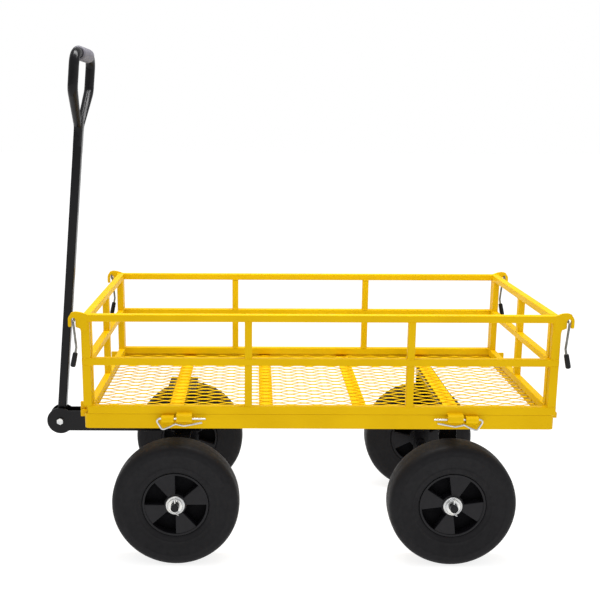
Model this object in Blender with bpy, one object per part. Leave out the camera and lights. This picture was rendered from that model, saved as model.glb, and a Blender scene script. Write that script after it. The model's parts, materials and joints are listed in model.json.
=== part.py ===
"""Garden cart: a steel tray on four wheels, with hinged side panels, a steered front axle and a tow handle.

Metres, +Z up. The cart stands on Z = 0 with its length along X; the handle is at -X.
Each sub-part has a function of its own, and the sizes that drive it are named below.
"""
import math

import bmesh
import bpy
from mathutils import Matrix, Vector

for old in list(bpy.data.objects):
    bpy.data.objects.remove(old, do_unlink=True)

# ---- clearances -----------------------------------------------------------------
GAP = 0.0003             # between pieces that touch
PIN_PLAY = 0.0005        # round a pin, a bolt or a shaft
BOLT_BEYOND_NUT = 0.0020

# ---- tray -----------------------------------------------------------------------
WHEEL_RADIUS = 0.127
TRAY_LENGTH = 0.904
TRAY_WIDTH = 0.460
TRAY_BOTTOM = 2 * WHEEL_RADIUS + 0.038
TRAY_BAND = 0.0285       # height of the skirt
TRAY_WALL = 0.0025
TRAY_FLANGE = 0.024      # lip that holds the deck down
TRAY_CORNER = 0.010
TRAY_TOP = TRAY_BOTTOM + TRAY_BAND
FLANGE_UNDERSIDE = TRAY_TOP - TRAY_WALL

DECK_THICKNESS = 0.0020
DECK_TOP = FLANGE_UNDERSIDE - 0.0005
DECK_BOTTOM = DECK_TOP - DECK_THICKNESS
DECK_COLUMNS = 8
DECK_ROWS = 9
DECK_STRAND = 0.0095     # metal left between two openings

BAR_WIDTH = 0.028
BAR_THICKNESS = 0.003
BAR_TOP = DECK_BOTTOM - GAP
BAR_BOTTOM = BAR_TOP - BAR_THICKNESS

# ---- wheels and axles -----------------------------------------------------------
WHEEL_WIDTH = 0.064
WHEEL_SEGMENTS = 32      # a multiple of four, so a corner touches the ground; the hub has as many
FRONT_AXLE_X = -0.281
REAR_AXLE_X = 0.268
MIDDLE_BARS_X = (-0.102, 0.085)
HALF_TRACK = TRAY_WIDTH / 2 - 0.0375
HUB_RADIUS = 0.0660
HUB_HALF_WIDTH = 0.0230
HUB_WEB = 0.008
HUB_BOSS_RADIUS = 0.0220
HUB_RIM_INSIDE = 0.0615
SPOKES = 4
SPOKE_ANGLE = math.radians(42)
HUB_TURNS = {"front_near": 0, "rear_near": 56, "front_far": 30, "rear_far": 75}    # how each wheel stands, degrees
BUSH_RADIUS = 0.0125
BUSH_FLANGE_RADIUS = 0.0190
BUSH_FLANGE = 0.003
AXLE_RADIUS = 0.0105
JOURNAL_RADIUS = 0.0080
WASHER_RADIUS = 0.0145
WASHER_THICKNESS = 0.002
COTTER_RADIUS = 0.0013
AXLE_END = 0.0120        # journal beyond the washer

LEG_HALF_SPAN = HALF_TRACK - 0.0525    # outer faces of an axle support's legs
LEG_THICKNESS = 0.005
LEG_WIDTH = 0.036
SUPPORT_WEB = 0.004
LEG_BELOW_AXLE = 0.020

# ---- steering -------------------------------------------------------------------
MOUNT_LENGTH = 0.060
MOUNT_HALF_WIDTH = 0.055
MOUNT_HEIGHT = 0.0520
MOUNT_WALL = 0.004
MOUNT_TOP = BAR_BOTTOM - GAP
MOUNT_FLOOR = MOUNT_TOP - MOUNT_HEIGHT
TURNTABLE_RADIUS = 0.036
TURNTABLE_THICKNESS = 0.0050
TURNTABLE_BOTTOM = MOUNT_FLOOR - GAP - TURNTABLE_THICKNESS
FORK_TOP = TURNTABLE_BOTTOM - GAP
FORK_BOTTOM = FORK_TOP - 0.0444
FORK_HALF_WIDTH = 0.0175
FORK_CHEEK = 0.004
FORK_EYE_RADIUS = 0.029
FORK_BACK_X = FRONT_AXLE_X + 0.040
KINGPIN_RADIUS = 0.006
KINGPIN_HEAD = 0.008
KINGPIN_FLATS = 0.019
KINGPIN_NUT = 0.010

# ---- handle ---------------------------------------------------------------------
HANDLE_PIVOT = Vector((-TRAY_LENGTH / 2 - 0.0945, 0.0, (FORK_TOP + FORK_BOTTOM) / 2))
HANDLE_LEAN = math.radians(5.45)   # towards the tray
SHAFT_SIZE = 0.0180
SHAFT_WALL = 0.0018
SHAFT_LENGTH = 0.639
SHAFT_BELOW_PIVOT = 0.0125
PIVOT_BOLT_RADIUS = 0.0040
PIVOT_BOLT_FLATS = 0.0130
PIVOT_BOLT_HEAD = 0.0055
LOOP_TUBE_RADIUS = 0.0100
LOOP_HALF_WIDTH = 0.0870
LOOP_BEND = 0.024
LOOP_SHOULDER = 0.7025            # where the arms stop spreading
GRIP_HEIGHT = 0.7735
GRIP_RADIUS = 0.0142
GRIP_HALF_LENGTH = 0.050
LOOP_BOLT_HEIGHT = 0.607
LOOP_BOLT_RADIUS = 0.0032
LOOP_BOLT_FLATS = 0.0090
LOOP_BOLT_HEAD = 0.0040
ARM_FLAT_THICKNESS = 0.007
ARM_FLAT_WIDTH = 0.0160
ARM_BOTTOM = 0.590

# ---- panels ---------------------------------------------------------------------
PANEL_LENGTH = TRAY_LENGTH + 0.002
PANEL_TUBE = 0.014
PANEL_FACE_Y = TRAY_WIDTH / 2 + 0.001    # outer faces of the side panels
PANEL_BOTTOM = TRAY_TOP + 0.002
MID_RAIL_TOP = TRAY_TOP + 0.1105
TOP_RAIL_TOP = TRAY_TOP + 0.1955
CORNER_POST = 0.0165
SIDE_POSTS = (-0.1368, 0.1720)    # on the near panel; the far one is the same part turned round
END_PANEL_FACE_X = TRAY_LENGTH / 2 - 0.0025
END_PANEL_HALF_WIDTH = PANEL_FACE_Y - PANEL_TUBE - 0.002
CORNER_NOTCH = (0.008, 0.014)

EAR_X = PANEL_LENGTH / 2 + 0.009
EAR_Z = TOP_RAIL_TOP - 0.0105
EAR_RADIUS = 0.0140
EAR_BROW = 0.0020        # how much further out the plate goes where it meets the rail
EAR_SLOT_X = EAR_X + 0.0040
EAR_SLOT = 0.0080        # the slot is open below, so the ear ends in a finger
EAR_DROP = 0.0135
EAR_PROUD = 0.0005
EAR_THICKNESS = 0.005

SIDE_HINGE_Y = PANEL_FACE_Y + 0.0085
SIDE_HINGE_Z = TRAY_TOP - 0.006
BARREL_RADIUS = 0.0063
CLIP_RADIUS = 0.0020
TAB_X = 0.259
TAB_WIDTH = 0.030
TAB_HEIGHT = 0.0105
KNUCKLE_WIDTH = 0.024
KNUCKLE_X = TAB_X + (TAB_WIDTH + KNUCKLE_WIDTH) / 2 + 0.005

# A clip's bends: along the cart from its knuckle's middle, and down from the pin.
CLIP_SHAPE = ((-0.0730, 0.0), (0.0235, 0.0), (0.0105, 0.0220), (-0.0020, 0.0170), (-0.0145, 0.0103),
              (-0.0310, 0.0140), (-0.0450, 0.0115), (-0.0660, 0.0075))
CLIP_BEND = 0.0045

END_HINGE_X = TRAY_LENGTH / 2 + 0.0065
END_HINGE_Z = TRAY_TOP - 0.004
END_PIN_RADIUS = 0.003
HOOK_Y = TRAY_WIDTH / 2 - 0.039
HOOK_THICKNESS = 0.006
LUG_Y = HOOK_Y + 0.014
LUG_THICKNESS = 0.012

LEVER_RADIUS = 0.0022
LEVER_PIVOT = (EAR_SLOT_X - 0.0005, EAR_Z - 0.0020)
LEVER_DROPS = ((-0.0043, 0.0500), (-0.0023, 0.0605), (0.0030, 0.0845))    # outwards and down from its pivot
LEVER_GRIP_TOP = LEVER_DROPS[1]
LEVER_GRIP_END = (0.0037, 0.0880)
LEVER_GRIP_RADIUS = 0.0050
LEVER_CLEAR = 0.0012     # between the lever and its ear
LEVER_TAIL = 0.009
LEVER_BEND = 0.003

# Sizes above are measured from the tray's middle; this puts the whole cart's middle on X = 0.
CART_X = -(HANDLE_PIVOT.x - FORK_EYE_RADIUS + EAR_X + EAR_RADIUS) / 2

# ---- finishes: colour, roughness, metallic --------------------------------------
FINISHES = {
    "yellow_powder_coat": ((0.68, 0.42, 0.005), 0.38, 0.0),
    "black_gloss_paint": ((0.012, 0.012, 0.014), 0.25, 0.0),
    "zinc_plate": ((0.62, 0.62, 0.60), 0.30, 1.0),
    "black_rubber": ((0.014, 0.014, 0.015), 0.70, 0.0),
    "black_hub_plastic": ((0.016, 0.016, 0.018), 0.42, 0.0),
    "grey_grip_plastic": ((0.20, 0.20, 0.21), 0.45, 0.0),
    "black_vinyl": ((0.010, 0.010, 0.011), 0.45, 0.0),
}


# ---- modelling helpers ----------------------------------------------------------
def finish(name):
    """Return the Principled material of that name, made once."""
    made = bpy.data.materials.get(name)
    if made:
        return made
    colour, roughness, metallic = FINISHES[name]
    made = bpy.data.materials.new(name)
    made.use_nodes = True
    shader = made.node_tree.nodes["Principled BSDF"]
    shader.inputs["Base Color"].default_value = (*colour, 1.0)
    shader.inputs["Roughness"].default_value = roughness
    shader.inputs["Metallic"].default_value = metallic
    return made


def pivot(name, place_in_cart, parent=None):
    """Add an empty on a joint's axis; what it carries is parented to it."""
    empty = bpy.data.objects.new(name, None)
    empty.empty_display_size = 0.03
    bpy.context.scene.collection.objects.link(empty)
    empty["place_in_cart"] = tuple(place_in_cart)
    if parent:
        empty.parent = parent
        empty.location = Vector(place_in_cart) - Vector(parent["place_in_cart"])
    return empty


def place(name, solid, material, carrier):
    """Make a bmesh drawn in the cart's own coordinates an object whose origin is on its carrying empty."""
    origin = Vector(carrier["place_in_cart"])
    bmesh.ops.translate(solid, verts=solid.verts, vec=-origin)
    face_outwards(solid)
    mesh = bpy.data.meshes.new(name)
    solid.to_mesh(mesh)
    solid.free()
    mesh.materials.append(finish(material))
    mesh.shade_smooth()
    mesh.set_sharp_from_angle(angle=math.radians(35))
    made = bpy.data.objects.new(name, mesh)
    bpy.context.scene.collection.objects.link(made)
    made.parent = carrier
    return made


def face_outwards(solid):
    bmesh.ops.recalc_face_normals(solid, faces=solid.faces)
    if solid.calc_volume(signed=True) < 0:
        bmesh.ops.reverse_faces(solid, faces=solid.faces)


def combine(first, second, operation):
    """Union or difference of two closed meshes with the exact solver; both are used up."""
    holders = []
    for solid in (first, second):
        face_outwards(solid)
        mesh = bpy.data.meshes.new("blank")
        solid.to_mesh(mesh)
        solid.free()
        holder = bpy.data.objects.new("blank", mesh)
        bpy.context.scene.collection.objects.link(holder)
        holders.append(holder)
    step = holders[0].modifiers.new("step", "BOOLEAN")
    step.solver = "EXACT"
    step.operation = operation
    step.object = holders[1]
    result = bmesh.new()
    result.from_object(holders[0], bpy.context.evaluated_depsgraph_get())
    for holder in holders:
        mesh = holder.data
        bpy.data.objects.remove(holder, do_unlink=True)
        bpy.data.meshes.remove(mesh)
    bmesh.ops.remove_doubles(result, verts=result.verts, dist=0.000005)
    return result


def union(first, *others):
    for other in others:
        first = combine(first, other, "UNION")
    return first


def cut(blank, *cutters):
    for cutter in cutters:
        blank = combine(blank, cutter, "DIFFERENCE")
    return blank


def moved(solid, matrix):
    bmesh.ops.transform(solid, matrix=matrix, verts=solid.verts)
    return solid


def circle(radius, sides, centre=(0.0, 0.0), start=0.0):
    """Points of a regular outline; its corners lie on the radius."""
    return [(centre[0] + radius * math.cos(start + 2 * math.pi * k / sides),
             centre[1] + radius * math.sin(start + 2 * math.pi * k / sides)) for k in range(sides)]


def arc(centre, radius, start_deg, end_deg, steps):
    """Points along a circle's arc, both ends included."""
    turn = [math.radians(start_deg + (end_deg - start_deg) * k / steps) for k in range(steps + 1)]
    return [(centre[0] + radius * math.cos(a), centre[1] + radius * math.sin(a)) for a in turn]


def rectangle(low, high):
    return [(low[0], low[1]), (high[0], low[1]), (high[0], high[1]), (low[0], high[1])]


def rounded_rectangle(half_x, half_y, radius):
    points = []
    for sx, sy, start in ((1, 1, 0), (-1, 1, 90), (-1, -1, 180), (1, -1, 270)):
        points += arc((sx * (half_x - radius), sy * (half_y - radius)), radius, start, start + 90, 3)
    return points


def prism(outline, low, high, axis="Z", holes=()):
    """Extrude a flat outline with holes along an axis, from low to high.

    Outline points are (x, y) for Z, (x, z) for Y and (y, z) for X.
    """
    lay = {"Z": lambda a, b: (a, b, low), "Y": lambda a, b: (a, low, b), "X": lambda a, b: (low, a, b)}[axis]
    reach = {"Z": (0, 0, 1), "Y": (0, 1, 0), "X": (1, 0, 0)}[axis]
    solid = bmesh.new()
    for loop in (outline, *holes):
        verts = [solid.verts.new(lay(*point)) for point in loop]
        for here, after in zip(verts, verts[1:] + verts[:1]):
            solid.edges.new((here, after))
    if holes:
        bmesh.ops.triangle_fill(solid, edges=solid.edges[:], use_beauty=True)
    else:
        solid.faces.new(solid.verts[:])
    grown = bmesh.ops.extrude_face_region(solid, geom=solid.faces[:])
    raised = [item for item in grown["geom"] if isinstance(item, bmesh.types.BMVert)]
    bmesh.ops.translate(solid, verts=raised, vec=Vector(reach) * (high - low))
    bmesh.ops.recalc_face_normals(solid, faces=solid.faces)
    return solid


def box(low, high):
    return prism(rectangle(low[:2], high[:2]), low[2], high[2])


def rod(centre, radius, low, high, axis, sides=24):
    """Solid cylinder along an axis; centre is in the plane across it."""
    return prism(circle(radius, sides, centre), low, high, axis)


def lathe(profile, centre_x, centre_z, segments):
    """Turn a closed profile of (radius, y) about an axis along Y. A zero radius makes a pole."""
    solid = bmesh.new()
    rings = []
    for radius, y in profile:
        if radius < 1e-9:
            rings.append([solid.verts.new((centre_x, y, centre_z))])
            continue
        turn = [2 * math.pi * k / segments for k in range(segments)]
        rings.append([solid.verts.new((centre_x + radius * math.cos(a), y, centre_z + radius * math.sin(a)))
                      for a in turn])
    for here, after in zip(rings, rings[1:] + rings[:1]):
        if len(here) == len(after) == 1:
            continue
        for k in range(segments):
            corners = [here[k % len(here)], here[(k + 1) % len(here)],
                       after[(k + 1) % len(after)], after[k % len(after)]]
            solid.faces.new(list(dict.fromkeys(corners)))
    bmesh.ops.recalc_face_normals(solid, faces=solid.faces)
    return solid


def bent(points, radius, steps=4):
    """Round the inner corners of a polyline with arcs of one bend radius."""
    points = [Vector(point) for point in points]
    path = [points[0]]
    for before, corner, after in zip(points, points[1:], points[2:]):
        back, ahead = (before - corner).normalized(), (after - corner).normalized()
        half = back.angle(ahead) / 2
        reach = min(radius / math.tan(half), (before - corner).length * 0.48, (after - corner).length * 0.48)
        bend = reach * math.tan(half)
        middle = corner + (back + ahead).normalized() * (bend / math.sin(half))
        start, end = corner + back * reach - middle, corner + ahead * reach - middle
        turn = start.angle(end)
        for k in range(steps + 1):
            part = k / steps
            path.append(middle + (start * math.sin((1 - part) * turn) + end * math.sin(part * turn))
                        / math.sin(turn))
    path.append(points[-1])
    return path


def sweep(path, sides, size, across=None):
    """Closed tube along a path. size(k) gives the half sizes (along across, and square to it) at point k."""
    solid = bmesh.new()
    rings = []
    side = across.copy() if across else None
    for k, point in enumerate(path):
        ahead = path[min(k + 1, len(path) - 1)] - path[max(k - 1, 0)]
        ahead.normalize()
        if side is None:
            side = ahead.orthogonal()
        side = (side - ahead * side.dot(ahead)).normalized()
        other = ahead.cross(side)
        along_side, along_other = size(k)
        turn = [2 * math.pi * (n + 0.5) / sides for n in range(sides)]
        rings.append([solid.verts.new(point + side * along_side * math.cos(a) + other * along_other * math.sin(a))
                      for a in turn])
    for here, after in zip(rings, rings[1:]):
        for n in range(sides):
            m = (n + 1) % sides
            solid.faces.new((here[n], here[m], after[m], after[n]))
    solid.faces.new(rings[0])
    solid.faces.new(rings[-1])
    bmesh.ops.recalc_face_normals(solid, faces=solid.faces)
    return solid


def wire(points, radius, bend, sides=8):
    return sweep(bent(points, bend, steps=3), sides, lambda k: (radius, radius))


def turned(solid, half_turn):
    """Turn a solid half way round the cart's middle, for the far side's copy of a part."""
    return moved(solid, Matrix.Rotation(math.pi, 4, "Z")) if half_turn else solid


# ---- tray -----------------------------------------------------------------------
def tray_frame(cart):
    """Pressed skirt with an inward lip, the panels' hinge knuckles and the end panels' pins."""
    half_x, half_y = TRAY_LENGTH / 2, TRAY_WIDTH / 2
    skirt = prism(rounded_rectangle(half_x, half_y, TRAY_CORNER), TRAY_BOTTOM, TRAY_TOP)
    pocket = prism(rounded_rectangle(half_x - TRAY_WALL, half_y - TRAY_WALL, TRAY_CORNER - TRAY_WALL),
                   TRAY_BOTTOM - 0.01, FLANGE_UNDERSIDE)
    window = box((TRAY_FLANGE - half_x, TRAY_FLANGE - half_y, TRAY_BOTTOM - 0.01),
                 (half_x - TRAY_FLANGE, half_y - TRAY_FLANGE, TRAY_TOP + 0.01))
    frame = cut(skirt, pocket, window)
    for half_turn in (False, True):
        for side in (-1, 1):
            frame = union(frame, turned(side_knuckle(side), half_turn), turned(end_lug(side), half_turn))
    return place("tray_frame", frame, "yellow_powder_coat", cart)


def side_knuckle(side):
    """Welded strap on the near skirt that takes a clip pin; side is -1 at the handle end."""
    y, z = -SIDE_HINGE_Y, SIDE_HINGE_Z
    skirt = -TRAY_WIDTH / 2 + TRAY_WALL / 2
    outline = [(skirt, TRAY_TOP - 0.0005), (y, z + BARREL_RADIUS - 0.0005)]
    outline += arc((y, z), BARREL_RADIUS, 110, 215, 5)
    outline += [(skirt, TRAY_BOTTOM + 0.0065)]
    bore = circle(CLIP_RADIUS + PIN_PLAY, 12, (y, z))
    middle = side * KNUCKLE_X
    return prism(outline, middle - KNUCKLE_WIDTH / 2, middle + KNUCKLE_WIDTH / 2, "X", holes=[bore])


def end_lug(side):
    """Block and stub pin at one corner of the +X end, for an end panel's hook; side is -1 near."""
    skirt = TRAY_LENGTH / 2 - TRAY_WALL / 2
    inner, outer = sorted((side * (LUG_Y - LUG_THICKNESS / 2), side * (LUG_Y + LUG_THICKNESS / 2)))
    lug = box((skirt, inner, TRAY_TOP - 0.0115), (END_HINGE_X + 0.004, outer, TRAY_TOP - 0.0005))
    pin_low, pin_high = sorted((side * (HOOK_Y - HOOK_THICKNESS), side * LUG_Y))
    pin = rod((END_HINGE_X, END_HINGE_Z), END_PIN_RADIUS, pin_low, pin_high, "Y", sides=12)
    return union(lug, pin)


def deck(cart):
    """Expanded sheet under the lip: rows of diamond openings, every second row shifted half a pitch."""
    half_x = TRAY_LENGTH / 2 - TRAY_WALL - 0.001
    half_y = TRAY_WIDTH / 2 - TRAY_WALL - 0.001
    inside_x, inside_y = TRAY_LENGTH / 2 - TRAY_FLANGE, TRAY_WIDTH / 2 - TRAY_FLANGE
    pitch_x, pitch_y = 2 * inside_x / DECK_COLUMNS, 2 * inside_y / DECK_ROWS
    reach_x, reach_y = pitch_x / 2 - DECK_STRAND, pitch_y - DECK_STRAND
    holes = []
    for row in range(DECK_ROWS):
        y = -inside_y + pitch_y * (row + 0.5)
        shifted = row % 2
        for column in range(DECK_COLUMNS - shifted):
            x = -inside_x + pitch_x * (column + 0.5 + shifted / 2)
            holes.append([(x - reach_x, y), (x, y - reach_y / 2), (x + reach_x, y), (x, y + reach_y / 2)])
    sheet = prism(rounded_rectangle(half_x, half_y, TRAY_CORNER - TRAY_WALL), DECK_BOTTOM, DECK_TOP, holes=holes)
    return place("deck_mesh", sheet, "yellow_powder_coat", cart)


def crossbars(cart):
    half_y = TRAY_WIDTH / 2 - TRAY_WALL - GAP
    for number, x in enumerate((FRONT_AXLE_X, *MIDDLE_BARS_X, REAR_AXLE_X), start=1):
        bar = box((x - BAR_WIDTH / 2, -half_y, BAR_BOTTOM), (x + BAR_WIDTH / 2, half_y, BAR_TOP))
        place(f"deck_crossbar_{number}", bar, "yellow_powder_coat", cart)


# ---- running gear ---------------------------------------------------------------
def axle_support(name, x, top, carrier):
    """Bridge across the cart with a leg down to the axle at each side."""
    legs_inside = LEG_HALF_SPAN - LEG_THICKNESS
    bottom = WHEEL_RADIUS - LEG_BELOW_AXLE
    underside = top - SUPPORT_WEB
    gusset = 0.022
    outline = [(-LEG_HALF_SPAN, bottom), (-LEG_HALF_SPAN, top), (LEG_HALF_SPAN, top), (LEG_HALF_SPAN, bottom),
               (legs_inside, bottom), (legs_inside, underside - gusset), (legs_inside - gusset, underside),
               (gusset - legs_inside, underside), (-legs_inside, underside - gusset), (-legs_inside, bottom)]
    bridge = prism(outline, x - LEG_WIDTH / 2, x + LEG_WIDTH / 2, "X")
    bore = rod((x, WHEEL_RADIUS), AXLE_RADIUS + PIN_PLAY, -LEG_HALF_SPAN - 0.01, LEG_HALF_SPAN + 0.01, "Y", 18)
    bridge = cut(bridge, bore)
    if name == "front_axle_support":
        bridge = cut(bridge, kingpin_hole(underside - SUPPORT_WEB, top + SUPPORT_WEB))
    return place(name, bridge, "black_gloss_paint", carrier)


def washer_outer_face():
    """Distance from the cart's middle to a wheel washer's outer face."""
    return HALF_TRACK + HUB_HALF_WIDTH + GAP + BUSH_FLANGE + GAP + WASHER_THICKNESS


def axle(name, x, carrier):
    """Stepped shaft: thick through the support, turned down for the bushes, drilled for the cotters."""
    shoulder = HALF_TRACK - HUB_HALF_WIDTH - 0.0035
    end = washer_outer_face() + AXLE_END
    bevel = 0.0012
    half = [(0.0, end), (JOURNAL_RADIUS - bevel, end), (JOURNAL_RADIUS, end - bevel), (JOURNAL_RADIUS, shoulder),
            (AXLE_RADIUS, shoulder)]
    profile = half + [(radius, -y) for radius, y in reversed(half)]
    shaft = lathe(profile, x, WHEEL_RADIUS, 18)
    for side in (-1, 1):
        y = side * (washer_outer_face() + AXLE_END / 2)
        shaft = cut(shaft, rod((x, y), COTTER_RADIUS + PIN_PLAY, WHEEL_RADIUS - 0.02, WHEEL_RADIUS + 0.02, "Z", 8))
    return place(name, shaft, "black_gloss_paint", carrier)


def wheel(label, x, side, carrier, wheel_pivot):
    """Tyre, hub and bush that turn, with the washer and cotter that keep them on the axle."""
    middle = side * HALF_TRACK

    def out(distance):
        return middle + side * distance

    half = WHEEL_WIDTH / 2
    inside = HUB_RADIUS + GAP
    right = [(inside, 0.70), (inside + 0.015, 0.95), (WHEEL_RADIUS - 0.014, 1.0), (WHEEL_RADIUS - 0.004, 0.80),
             (WHEEL_RADIUS, 0.48)]
    profile = [(r, out(half * w)) for r, w in right] + [(r, out(-half * w)) for r, w in reversed(right)]
    place(f"{label}_tyre", lathe(profile, x, WHEEL_RADIUS, WHEEL_SEGMENTS), "black_rubber", wheel_pivot)

    faces = sorted((out(-HUB_HALF_WIDTH), out(HUB_HALF_WIDTH)))
    bore = circle(BUSH_RADIUS + GAP, 18, (x, WHEEL_RADIUS))
    hub = prism(circle(HUB_RADIUS, WHEEL_SEGMENTS, (x, WHEEL_RADIUS)), *faces, "Y", holes=[bore])
    for spoke in range(SPOKES):
        start = math.radians(HUB_TURNS[label]) + spoke * 2 * math.pi / SPOKES + SPOKE_ANGLE
        end = start + 2 * math.pi / SPOKES - SPOKE_ANGLE
        outer = arc((x, WHEEL_RADIUS), HUB_RIM_INSIDE, math.degrees(start), math.degrees(end), 4)
        inner = arc((x, WHEEL_RADIUS), HUB_BOSS_RADIUS, math.degrees(end), math.degrees(start), 1)
        for face in (-1, 1):
            depth = sorted((out(face * HUB_WEB / 2), out(face * (HUB_HALF_WIDTH + 0.01))))
            hub = cut(hub, prism(outer + inner, *depth, "Y"))
    place(f"{label}_hub", hub, "black_hub_plastic", wheel_pivot)

    seat = JOURNAL_RADIUS + PIN_PLAY
    flange_in = out(HUB_HALF_WIDTH + GAP)
    flange_out = out(HUB_HALF_WIDTH + GAP + BUSH_FLANGE)
    sleeve = [(seat, out(-HUB_HALF_WIDTH)), (BUSH_RADIUS, out(-HUB_HALF_WIDTH)), (BUSH_RADIUS, flange_in),
              (BUSH_FLANGE_RADIUS, flange_in), (BUSH_FLANGE_RADIUS, flange_out), (seat, flange_out)]
    place(f"{label}_bush", lathe(sleeve, x, WHEEL_RADIUS, 18), "zinc_plate", wheel_pivot)

    outer_face = side * washer_outer_face()
    inner_face = side * (washer_outer_face() - WASHER_THICKNESS)
    disc = [(seat, inner_face), (WASHER_RADIUS, inner_face), (WASHER_RADIUS, outer_face), (seat, outer_face)]
    place(f"{label}_washer", lathe(disc, x, WHEEL_RADIUS, 18), "zinc_plate", carrier)
    cotter(label, x, side, carrier)


def cotter(label, x, side, carrier):
    """Split pin through the axle end, its eye above and its legs bent round below."""
    y = side * (washer_outer_face() + AXLE_END / 2)
    z = WHEEL_RADIUS
    eye, below = 0.0135, 0.0115
    points = [(x + 0.0035, y, z + eye - 0.001), (x + 0.0035, y, z + eye + 0.004), (x, y, z + eye + 0.004),
              (x, y, z - below), (x + 0.007, y, z - below - 0.0045)]
    place(f"{label}_cotter", wire(points, COTTER_RADIUS, 0.0017, sides=6), "zinc_plate", carrier)


# ---- steering -------------------------------------------------------------------
def kingpin_hole(low, high):
    return rod((FRONT_AXLE_X, 0), KINGPIN_RADIUS + PIN_PLAY, low, high, "Z", 20)


def front_mount(cart):
    """Box section under the first crossbar; the turntable hangs from its floor."""
    outline = rectangle((-MOUNT_HALF_WIDTH, MOUNT_FLOOR), (MOUNT_HALF_WIDTH, MOUNT_TOP))
    inside = rectangle((MOUNT_WALL - MOUNT_HALF_WIDTH, MOUNT_FLOOR + MOUNT_WALL),
                       (MOUNT_HALF_WIDTH - MOUNT_WALL, MOUNT_TOP - MOUNT_WALL))
    tube = prism(outline, FRONT_AXLE_X - MOUNT_LENGTH / 2, FRONT_AXLE_X + MOUNT_LENGTH / 2, "X", holes=[inside])
    hole = kingpin_hole(MOUNT_FLOOR - MOUNT_WALL, MOUNT_FLOOR + 2 * MOUNT_WALL)
    place("front_mount", cut(tube, hole), "black_gloss_paint", cart)

    hole = circle(KINGPIN_RADIUS + PIN_PLAY, 20, (FRONT_AXLE_X, 0))
    disc = prism(circle(TURNTABLE_RADIUS, 32, (FRONT_AXLE_X, 0)), TURNTABLE_BOTTOM,
                 TURNTABLE_BOTTOM + TURNTABLE_THICKNESS, holes=[hole])
    place("turntable_washer", disc, "zinc_plate", cart)

    head_bottom = MOUNT_FLOOR + MOUNT_WALL + GAP
    nut_top = FORK_BOTTOM - GAP - SUPPORT_WEB - GAP
    nut_bottom = nut_top - KINGPIN_NUT
    head = rod((FRONT_AXLE_X, 0), KINGPIN_FLATS / math.sqrt(3), head_bottom, head_bottom + KINGPIN_HEAD, "Z", 6)
    shank = rod((FRONT_AXLE_X, 0), KINGPIN_RADIUS, nut_bottom - BOLT_BEYOND_NUT, head_bottom + GAP, "Z", 20)
    place("kingpin", union(head, shank), "zinc_plate", cart)
    hole = circle(KINGPIN_RADIUS + GAP, 20, (FRONT_AXLE_X, 0))
    corners = circle(KINGPIN_FLATS / math.sqrt(3), 6, (FRONT_AXLE_X, 0))
    place("kingpin_nut", prism(corners, nut_bottom, nut_top, "Z", holes=[hole]), "zinc_plate", cart)


def tongue_fork(steering):
    """Channel from the kingpin forward, with two round cheeks that hold the handle."""
    eye_x, eye_z = HANDLE_PIVOT.x, HANDLE_PIVOT.z
    top_deg = math.degrees(math.asin((FORK_TOP - eye_z) / FORK_EYE_RADIUS))
    bottom_deg = math.degrees(math.asin((FORK_BOTTOM - eye_z) / FORK_EYE_RADIUS))
    outline = arc((eye_x, eye_z), FORK_EYE_RADIUS, top_deg, 360 + bottom_deg, 16)
    outline += [(FORK_BACK_X, FORK_BOTTOM), (FORK_BACK_X, FORK_TOP)]
    bore = circle(PIVOT_BOLT_RADIUS + PIN_PLAY, 16, (eye_x, eye_z))
    web = box((eye_x + FORK_EYE_RADIUS - 0.002, -FORK_HALF_WIDTH + FORK_CHEEK / 2, FORK_BOTTOM),
              (FORK_BACK_X - 0.001, FORK_HALF_WIDTH - FORK_CHEEK / 2, FORK_BOTTOM + FORK_CHEEK))
    cheeks = []
    for side in (-1, 1):
        faces = sorted((side * FORK_HALF_WIDTH, side * (FORK_HALF_WIDTH - FORK_CHEEK)))
        cheeks.append(prism(outline, *faces, "Y", holes=[bore]))
    channel = union(web, *cheeks)
    channel = cut(channel, kingpin_hole(FORK_BOTTOM - FORK_CHEEK, FORK_BOTTOM + 2 * FORK_CHEEK))
    place("tongue_fork", channel, "black_gloss_paint", steering)


def cross_bolt(name, centre, radius, flats, head, half_grip, nut, material, carrier, tilt=0.0):
    """Bolt along Y with its head on the near side and a nut on the far side."""
    x, z = centre
    corner_radius = flats / math.sqrt(3)
    near = -half_grip - GAP
    far = half_grip + GAP
    corners = circle(corner_radius, 6, (x, z), start=tilt)
    cap = prism(corners, near - head, near, "Y")
    shank = rod((x, z), radius, near - GAP, far + nut + BOLT_BEYOND_NUT, "Y", sides=16)
    place(name, union(cap, shank), material, carrier)
    hole = circle(radius + GAP, 16, (x, z))
    place(name + "_nut", prism(corners, far, far + nut, "Y", holes=[hole]), material, carrier)


# ---- handle ---------------------------------------------------------------------
def to_handle(solid):
    """From the handle's own frame (shaft along +Z from its pivot) to the cart's."""
    return moved(solid, Matrix.Translation(HANDLE_PIVOT) @ Matrix.Rotation(HANDLE_LEAN, 4, "Y"))


def loop_path():
    """Centre line of the loop in the handle's frame, from the near arm's end to the far one's."""
    beside = SHAFT_SIZE / 2 + GAP + ARM_FLAT_THICKNESS / 2
    corners = [(ARM_BOTTOM, beside), (LOOP_BOLT_HEIGHT + 0.022, beside), (LOOP_SHOULDER, LOOP_HALF_WIDTH),
               (GRIP_HEIGHT, LOOP_HALF_WIDTH)]
    near = [Vector((0, -y, z)) for z, y in corners]
    far = [Vector((0, y, z)) for z, y in reversed(corners)]
    return bent(near + far, LOOP_BEND, steps=4)


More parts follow.
